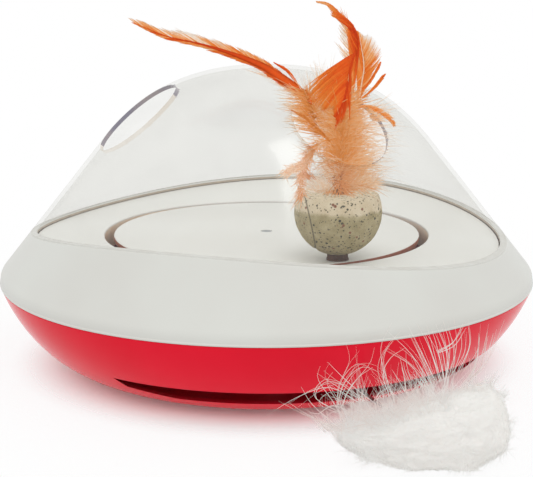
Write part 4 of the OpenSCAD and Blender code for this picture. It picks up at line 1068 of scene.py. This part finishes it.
def down_plume():
    """The down round the feathers' roots: a dense tan heart, wisps to both sides and a side tuft."""
    rng = np.random.default_rng(14)
    spine = smooth_run(PLUME_ROUTE, 80)
    up, right, face = np.array(UP), np.array(RIGHT), np.array(FACE)
    groups = []

    def fluff(count, along, sideways, forward, lift, length, width, shade, droop=0.05, near=1.1):
        """Strands from the plume's middle; sideways and forward are the lowest and highest share of each way."""
        place = rng.uniform(*along, count) * (len(spine) - 1)
        low = np.minimum(place.astype(int), len(spine) - 2)
        roots = spine[low] + (spine[low + 1] - spine[low]) * (place - low)[:, None]
        roots = roots + rng.normal(0, near, (count, 3))
        ways = unit(right * rng.uniform(*sideways, count)[:, None] + face * rng.uniform(*forward, count)[:, None]
                    + up * rng.normal(lift, 0.3, count)[:, None])
        bends = rng.normal(0, 0.2, (count, 3)) - np.array([0, 0, droop])
        tone = rng.normal(0, 0.06, count) + 0.12 * np.array([noise.noise(Vector(r) / 5) for r in roots])
        groups.append(scatter(rng, roots, ways, bends, rng.uniform(*length, count), width, shade, tone))

    fluff(1500, (0.4, 1.0), (-1, 1), (-0.5, 0.15), 0.55, (7, 14), 0.3, (0.5, 0.66))
    fluff(1300, (0.1, 0.65), (-0.9, 0.9), (-0.6, 0.6), 0.6, (6, 12), 0.27, (0.42, 0.64))
    fluff(620, (0.0, 0.3), (0.3, 1.2), (-0.4, 0.6), 0.35, (9, 19), 0.18, (0.4, 0.82), 0.1, 1.6)
    fluff(320, (0.0, 0.3), (-1.2, -0.4), (-0.4, 0.5), 0.3, (6, 11), 0.16, (0.7, 0.98), 0.1, 1.6)
    fluff(420, (0.05, 0.8), (0.8, 1.2), (-0.5, 0.4), 0.12, (13, 25), 0.11, (0.5, 0.98), 0.12, 1.8)
    fluff(160, (0.25, 0.9), (-1.2, -0.8), (-0.3, 0.3), 0.15, (9, 16), 0.12, (0.55, 0.98), 0.1, 1.8)
    fluff(520, (0.0, 0.06), (-1, 1), (-1, 1), -0.05, (5, 12), 0.2, (0.3, 0.62), 0.12, 1.3)
    fluff(160, (0.0, 0.08), (-0.5, 0.7), (0.2, 0.7), 1.0, (4, 8), 0.2, (0.0, 0.25), 0.0, 1.3)

    def barbs_from(count, start, end, way, length, width, shade, spread=0.16):
        """Loose barbs from a line between two places, all about one way."""
        share = rng.random(count)[:, None]
        roots = np.array(start) * (1 - share) + np.array(end) * share + rng.normal(0, 0.5, (count, 3))
        ways = unit(np.array(way) + rng.normal(0, spread, (count, 3)))
        tone = rng.normal(0, 0.06, count)
        groups.append(scatter(rng, roots, ways, rng.normal(0, 0.12, (count, 3)), rng.uniform(*length, count), width,
                              shade, tone))

    def tuft(run, count, thick, length, shade):
        """Short curls along a line, which make a soft rope of down."""
        pick = rng.integers(0, len(run) - 1, count)
        roots = run[pick] + rng.normal(0, thick, (count, 3))
        ways = unit(unit(run[pick + 1] - run[pick]) + rng.normal(0, 0.4, (count, 3)))
        tone = rng.normal(0, 0.07, count)
        groups.append(scatter(rng, roots, ways, rng.normal(0, 0.35, (count, 3)), rng.uniform(*length, count), 0.18,
                              shade, tone))

    barbs_from(190, spray(-15, 43, 6), spray(-9, 24, 7), -RIGHT + UP * 0.28, (8, 15), 0.2, (0.3, 0.92))
    barbs_from(50, spray(-16, 43, 3), spray(-3, 50, 3), UP - RIGHT * 0.35, (7, 13), 0.11, (0.9, 1.0), 0.25)
    barbs_from(300, spray(-14, 40, 4), spray(-6, 26, 4), UP - RIGHT * 0.3, (5, 10), 0.27, (0.4, 0.62), 0.3)
    barbs_from(60, spray(12, 36, 6), spray(16, 30, 6), RIGHT * 0.9 + UP * 0.2, (6, 12), 0.14, (0.6, 0.98), 0.25)
    barbs_from(300, spray(-3, -1, 8), spray(-10, -2, 9), UP * 0.6 - RIGHT, (5, 9), 0.2, (0.84, 1.0), 0.35)
    barbs_from(160, spray(5, 0, 8), spray(13, 0, 8), RIGHT + UP * 0.3, (6, 12), 0.18, (0.6, 0.95), 0.3)
    hook = curve([(-9, 20, 4), (-13.5, 15.5, 5), (-15.8, 10, 5.5), (-17, 4, 6), (-17.6, -5, 7)], 60)
    knob = curve([(-14.8, 9.6, 6), (-18, 9, 6.2), (-21, 8.2, 6.4), (-24.2, 6.6, 6.4)], 30)
    crumb = curve([(-16.2, 6, 7), (-13.8, 4.2, 7), (-11.8, 3, 7)], 20)
    streak = curve([(-4, 20.5, 10), (-9, 25, 10), (-15, 31, 9), (-22, 35, 8)], 40)
    tuft(hook, 420, 0.6, (3, 6), (0.46, 0.66))
    tuft(hook, 110, 1.1, (3, 6), (0.6, 0.95))
    tuft(knob, 190, 0.8, (2, 4), (0.66, 0.84))
    tuft(crumb, 90, 0.7, (1.5, 3), (0.3, 0.5))
    for side in (-1, 1):
        groups.append(barb_row(streak, side, [0.7, 1.2, 1.0, 0.3], [34, 28], [(0.3, 0.45), (0.34, 0.55)], rng,
                               spacing=0.25, split=0.12))
    return feather("down_plume", groups, DOWN)


# Upper and lower edge of the puff's heart across the picture, and the arcs of its long wisps, all from its middle
PUFF_ACROSS = (-35, -33, -28, -21, -14, -6, 3, 12, 20, 27, 32, 34, 34.8)
PUFF_TOP = (-4, -1, 0.5, 1.5, 3.5, 7, 10.5, 14.5, 17, 17.5, 12.5, 6, -1)
PUFF_FOOT = (-4, -6.5, -9.5, -12.6, -14.8, -16.4, -17.2, -16.8, -15, -12, -9, -6, -1)
PUFF_LIFT = 16.2
PUFF_WIDE = 35
PUFF_DEPTH = 1.1
PUFF_RIGHT_END = 38
FLOOR_CLEAR = 0.4
STRAND_LOW = 0.3
COAT_STRANDS = 8000
WISP_STRANDS = 3
WISP_RINGS = 16
TUFT_STRANDS = 9
WISPS = [
    [(4, 18), (-2, 28), (-10, 36)], [(5, 18), (0, 29), (-4, 38)], [(6, 19), (2, 30), (-1, 39)],
    [(7, 19), (4, 30), (1, 39)], [(9, 18), (6, 31), (3, 40)], [(10, 19), (8, 32), (5, 40)],
    [(2, 17), (-4, 26), (-13, 32)], [(10, 19), (12, 29), (9, 40)], [(11, 22), (14, 32), (13, 42)],
    [(13, 22), (16, 33), (15, 42)], [(15, 23), (19, 34), (18, 43)], [(6, 31), (12, 34), (16, 41)],
    [(17, 18), (23, 26), (26, 39)], [(19, 19), (25, 27), (28, 42)], [(20, 21), (23, 29), (24, 37)],
    [(21, 21), (26, 27), (30, 40)], [(17, 12), (23, 18), (28, 19), (30, 16)],
    [(-13, 11), (-18, 23), (-16, 31), (-11, 36)], [(-11, 10), (-15, 22), (-15, 29), (-10, 36)],
    [(-10, 10), (-2, 16), (0, 23)], [(-7, 15), (-8, 19), (-10, 24)], [(-4, 18), (-5, 25), (-4, 30)],
    [(-33, -2), (-33, 8), (-40, 21), (-38, 27)], [(-20, 10), (-32, 17), (-43, 25)],
    [(-24, 10), (-35, 18), (-46, 15), (-57, 8)], [(-35, 0), (-48, 8), (-55, 14)],
    [(-30, 7), (-38, 9), (-45, 5), (-52, 7)], [(-35, 9), (-32, 18), (-25, 24), (-18, 22), (-15, 18)],
    [(-29, 4), (-33, 12), (-28, 23), (-22, 29)], [(-34, 8), (-33, 16), (-27, 26), (-27, 33)],
    [(-33, 6), (-43, 12), (-38, 18), (-29, 16)], [(-24, 1), (-23, 8), (-18, 17)], [(-18, 7), (-20, 13), (-14, 17)]]


def white_puff():
    """The puff: a smooth heart of packed down, a short soft coat, pale fuzz by the slot and long curved wisps."""
    rng = np.random.default_rng(15)
    up, right, face = (np.array(v) for v in (UP, RIGHT, FACE))
    ahead = heading(CAMERA_AZ)
    middle = Vector((PUFF.x, PUFF.y, PUFF_LIFT))
    work = bmesh.new()
    bmesh.ops.create_icosphere(work, subdivisions=6, radius=1)
    for vertex in work.verts:
        way = vertex.co.normalized()
        side = way.x
        round_r = max(math.hypot(way.y, way.z), 1e-6)
        top, foot = (float(np.interp(side * PUFF_WIDE, PUFF_ACROSS, edge)) for edge in (PUFF_TOP, PUFF_FOOT))
        half = (top - foot) / 2
        half *= 1 + 0.1 * noise.noise(way * 2.6 + Vector((3, 1, 7))) + 0.07 * noise.noise(way * 6)
        half += 0.3 * noise.noise(way * 24)
        spot = middle + RIGHT * side * PUFF_WIDE + ahead * (PUFF_DEPTH * half * way.y / round_r)
        spot.z += (top + foot) / 2 + half * way.z / round_r
        lowest = FLOOR_CLEAR + 0.2 * noise.noise(way * 9)
        spot.z = max(spot.z, lowest)
        vertex.co = spot
    bmesh.ops.recalc_face_normals(work, faces=work.faces)
    work.verts.ensure_lookup_table()
    work.normal_update()
    core_points = np.array([v.co for v in work.verts])
    core_faces = np.array([[v.index for v in f.verts] for f in work.faces])
    core_normals = np.array([v.normal for v in work.verts])
    work.free()
    heart = (core_points, np.zeros((0, 4), int), core_faces, np.full(len(core_points), 0.93))
    count = COAT_STRANDS
    pick = rng.integers(0, len(core_points), count)
    roots = core_points[pick] - core_normals[pick] * 0.8
    swirl = np.array([noise.noise_vector(Vector(r) / 9) for r in roots])
    ways = unit(core_normals[pick] * 0.45 + swirl * 1.3 + rng.normal(0, 0.25, (count, 3)))
    bends = rng.normal(0, 0.25, (count, 3)) - core_normals[pick] * 0.2
    lengths = rng.uniform(2.5, 6, count)
    low = roots[:, 2] + lengths * (ways + bends)[:, 2] < FLOOR_CLEAR
    ways[low, 2] = np.abs(ways[low, 2]) * 0.2
    bends[low, 2] = 0
    tone = rng.normal(0, 0.03, count)
    coat = scatter(rng, roots, ways, bends, lengths, 0.08, (0.9, 0.98), tone, 5)
    groups = [coat]

    def beside(across, rise, out=0.0):
        """A place in the puff, from its middle: across, up and towards its face."""
        return np.array(middle) + right * across + up * rise + face * out

    paths = []
    for arc in WISPS:
        for _ in range(WISP_STRANDS):
            shift, out = rng.normal(0, 1.0, 2), rng.uniform(-5, 3)
            grow = [i + 0.3 for i in range(len(arc))]
            route = [beside(a + shift[0] * g, r + shift[1] * g, out) for g, (a, r) in zip(grow, arc)]
            paths.append(smooth_run(route, WISP_RINGS))
    t = np.linspace(0, 1, WISP_RINGS)
    faces = unit(rng.normal(0, 0.4, (len(paths), 1, 3)) + face)
    widths = rng.uniform(0.06, 0.15, len(paths))[:, None] * np.interp(t, [0, 0.6, 1], [1, 0.85, 0.3])[None]
    shades = np.clip(rng.normal(0.68, 0.14, len(paths)), 0, 1)[:, None] * np.interp(t, [0, 1], [1.1, 0.85])[None]
    faces = np.broadcast_to(faces, (len(paths), WISP_RINGS, 3))
    groups.append(strands(paths, widths, faces, np.clip(shades, 0, 1), 0.5))

    def fuzz(tufts, across, rise, lean, length, shade):
        """Tufts of curling strands from the heart's upper edge that veil what is behind them."""
        pick = np.repeat(np.arange(tufts), TUFT_STRANDS)
        count = len(pick)
        places = rng.uniform(*across, tufts)[pick] + rng.normal(0, 0.9, count)
        tops, feet = (np.interp(places, PUFF_ACROSS, edge) for edge in (PUFF_TOP, PUFF_FOOT))
        share = rng.uniform(-0.9, 0.8, tufts)[pick]
        tops = tops - (tops - feet) / 2 * (1 - np.sqrt(1 - share ** 2)) + rng.uniform(*rise, tufts)[pick]
        roots = np.array([beside(a, r, o) for a, r, o in zip(places, tops + rng.normal(0, 0.5, count),
                                                            share * (tops - feet) / 2)])
        leans = rng.normal(lean, 0.7, tufts)[pick] + rng.normal(0, 0.16, count)
        ways = unit(up + right * leans[:, None] + face * rng.normal(0, 0.3, tufts)[pick][:, None])
        bends = rng.normal(0, 0.45, (tufts, 3))[pick] + rng.normal(0, 0.12, (count, 3))
        tone = rng.normal(0, 0.1, count)
        lengths = rng.uniform(*length, tufts)[pick] * rng.uniform(0.6, 1, count)
        groups.append(scatter(rng, roots, ways, bends, lengths, rng.uniform(0.05, 0.12, count), shade, tone, 7))

    fuzz(70, (-34, -8), (-3, 1), -0.5, (6, 14), (1.0, 0.7))
    fuzz(46, (-33, -10), (-3, 2), -0.25, (12, 20), (1.0, 0.55))
    fuzz(16, (-41, -28), (-2, 5), -1.0, (5, 10), (0.85, 0.5))
    fuzz(80, (-12, 10), (-3, 2), -0.2, (7, 16), (1.0, 0.7))
    fuzz(40, (8, 27), (-4, 0), -0.1, (5, 11), (1.0, 0.75))
    for strand in groups:
        np.maximum(strand[0][:, 2], STRAND_LOW, out=strand[0][:, 2])
        np.minimum(strand[0][:, 0], PUFF.x + PUFF_RIGHT_END, out=strand[0][:, 0])
    piece("puff_heart", strand_mesh("puff_heart", [heart]), "wag", "white_down", "white_puff")
    return loose(piece("white_puff", strand_mesh("white_puff", groups), "wag", "white_down", "white_puff"))


for build in (red_bowl, bowl_bosses, white_shell, white_deck, clear_dome, turntable, catnip_ball, ball_seat,
              long_feather, upright_feather, broad_feather, down_plume, white_puff):
    build()


# Floor and light
FLOOR_HALF = 900.0
FADE_AT = (93, 135, 420)
LAMP_AWAY = 1500


def make_floor():
    """A wide pale floor that fades into the white background, and keeps the toy's shadow."""
    mesh = bpy.data.meshes.new("floor")
    corners = [(x * FLOOR_HALF * MM, y * FLOOR_HALF * MM, 0) for x, y in ((-1, -1), (1, -1), (1, 1), (-1, 1))]
    mesh.from_pydata(corners, [], [(0, 1, 2, 3)])
    made, tree, shader, place = start("pale_paper_floor", Base_Color=linear("#f8f8f7"), Roughness=0.9,
                                      Specular_IOR_Level=0.0)
    away = add(tree, "VectorMath", {0: place}, operation="LENGTH").outputs["Value"]
    near, middle, end = (distance * MM for distance in FADE_AT)
    fade = ranged(tree, away, 0.1, 0.9, near, middle, interpolation_type="SMOOTHSTEP")
    far = ranged(tree, away, 0.0, 0.1, middle, end, interpolation_type="SMOOTHSTEP")
    finish_with(tree, shader, add(tree, "BsdfTransparent"), share=reckon(tree, "ADD", fade, far))
    mesh.materials.append(made)
    floor = linked("floor", mesh)


def make_world():
    """White to the eye and in gloss and glass, with a softer even light on everything else."""
    world = bpy.data.worlds.new("white_room")
    scene.world = world
    world.use_nodes = True
    tree = world.node_tree
    path = add(tree, "LightPath")
    seen = path.outputs["Is Camera Ray"]
    for kind in ("Is Glossy Ray", "Is Transmission Ray"):
        seen = reckon(tree, "MAXIMUM", seen, path.outputs[kind])
    background = tree.nodes["Background"]
    background.inputs["Color"].default_value = (1, 1, 1, 1)
    dress(tree, background, Strength=ranged(tree, seen, 0.84, 1.0))


def softbox(name, azimuth, elevation, size, watts, mirrored):
    """A soft lamp in a direction, turned to the toy; it may be kept out of the reflections."""
    data = bpy.data.lights.new(name, "AREA")
    data.shape, data.size, data.size_y, data.energy = "RECTANGLE", size[0] * MM, size[1] * MM, watts
    made = linked(name, data)
    aim(made, heading(azimuth, elevation), LAMP_AWAY)
    made.visible_glossy = mirrored


make_floor()
make_world()
softbox("key", 30, 50, (900, 900), 3.6, False)
softbox("fill", -60, 35, (900, 900), 0.6, False)
softbox("card", 52, 71, (330, 420), 1.3, True)

scene.view_settings.view_transform = "Standard"
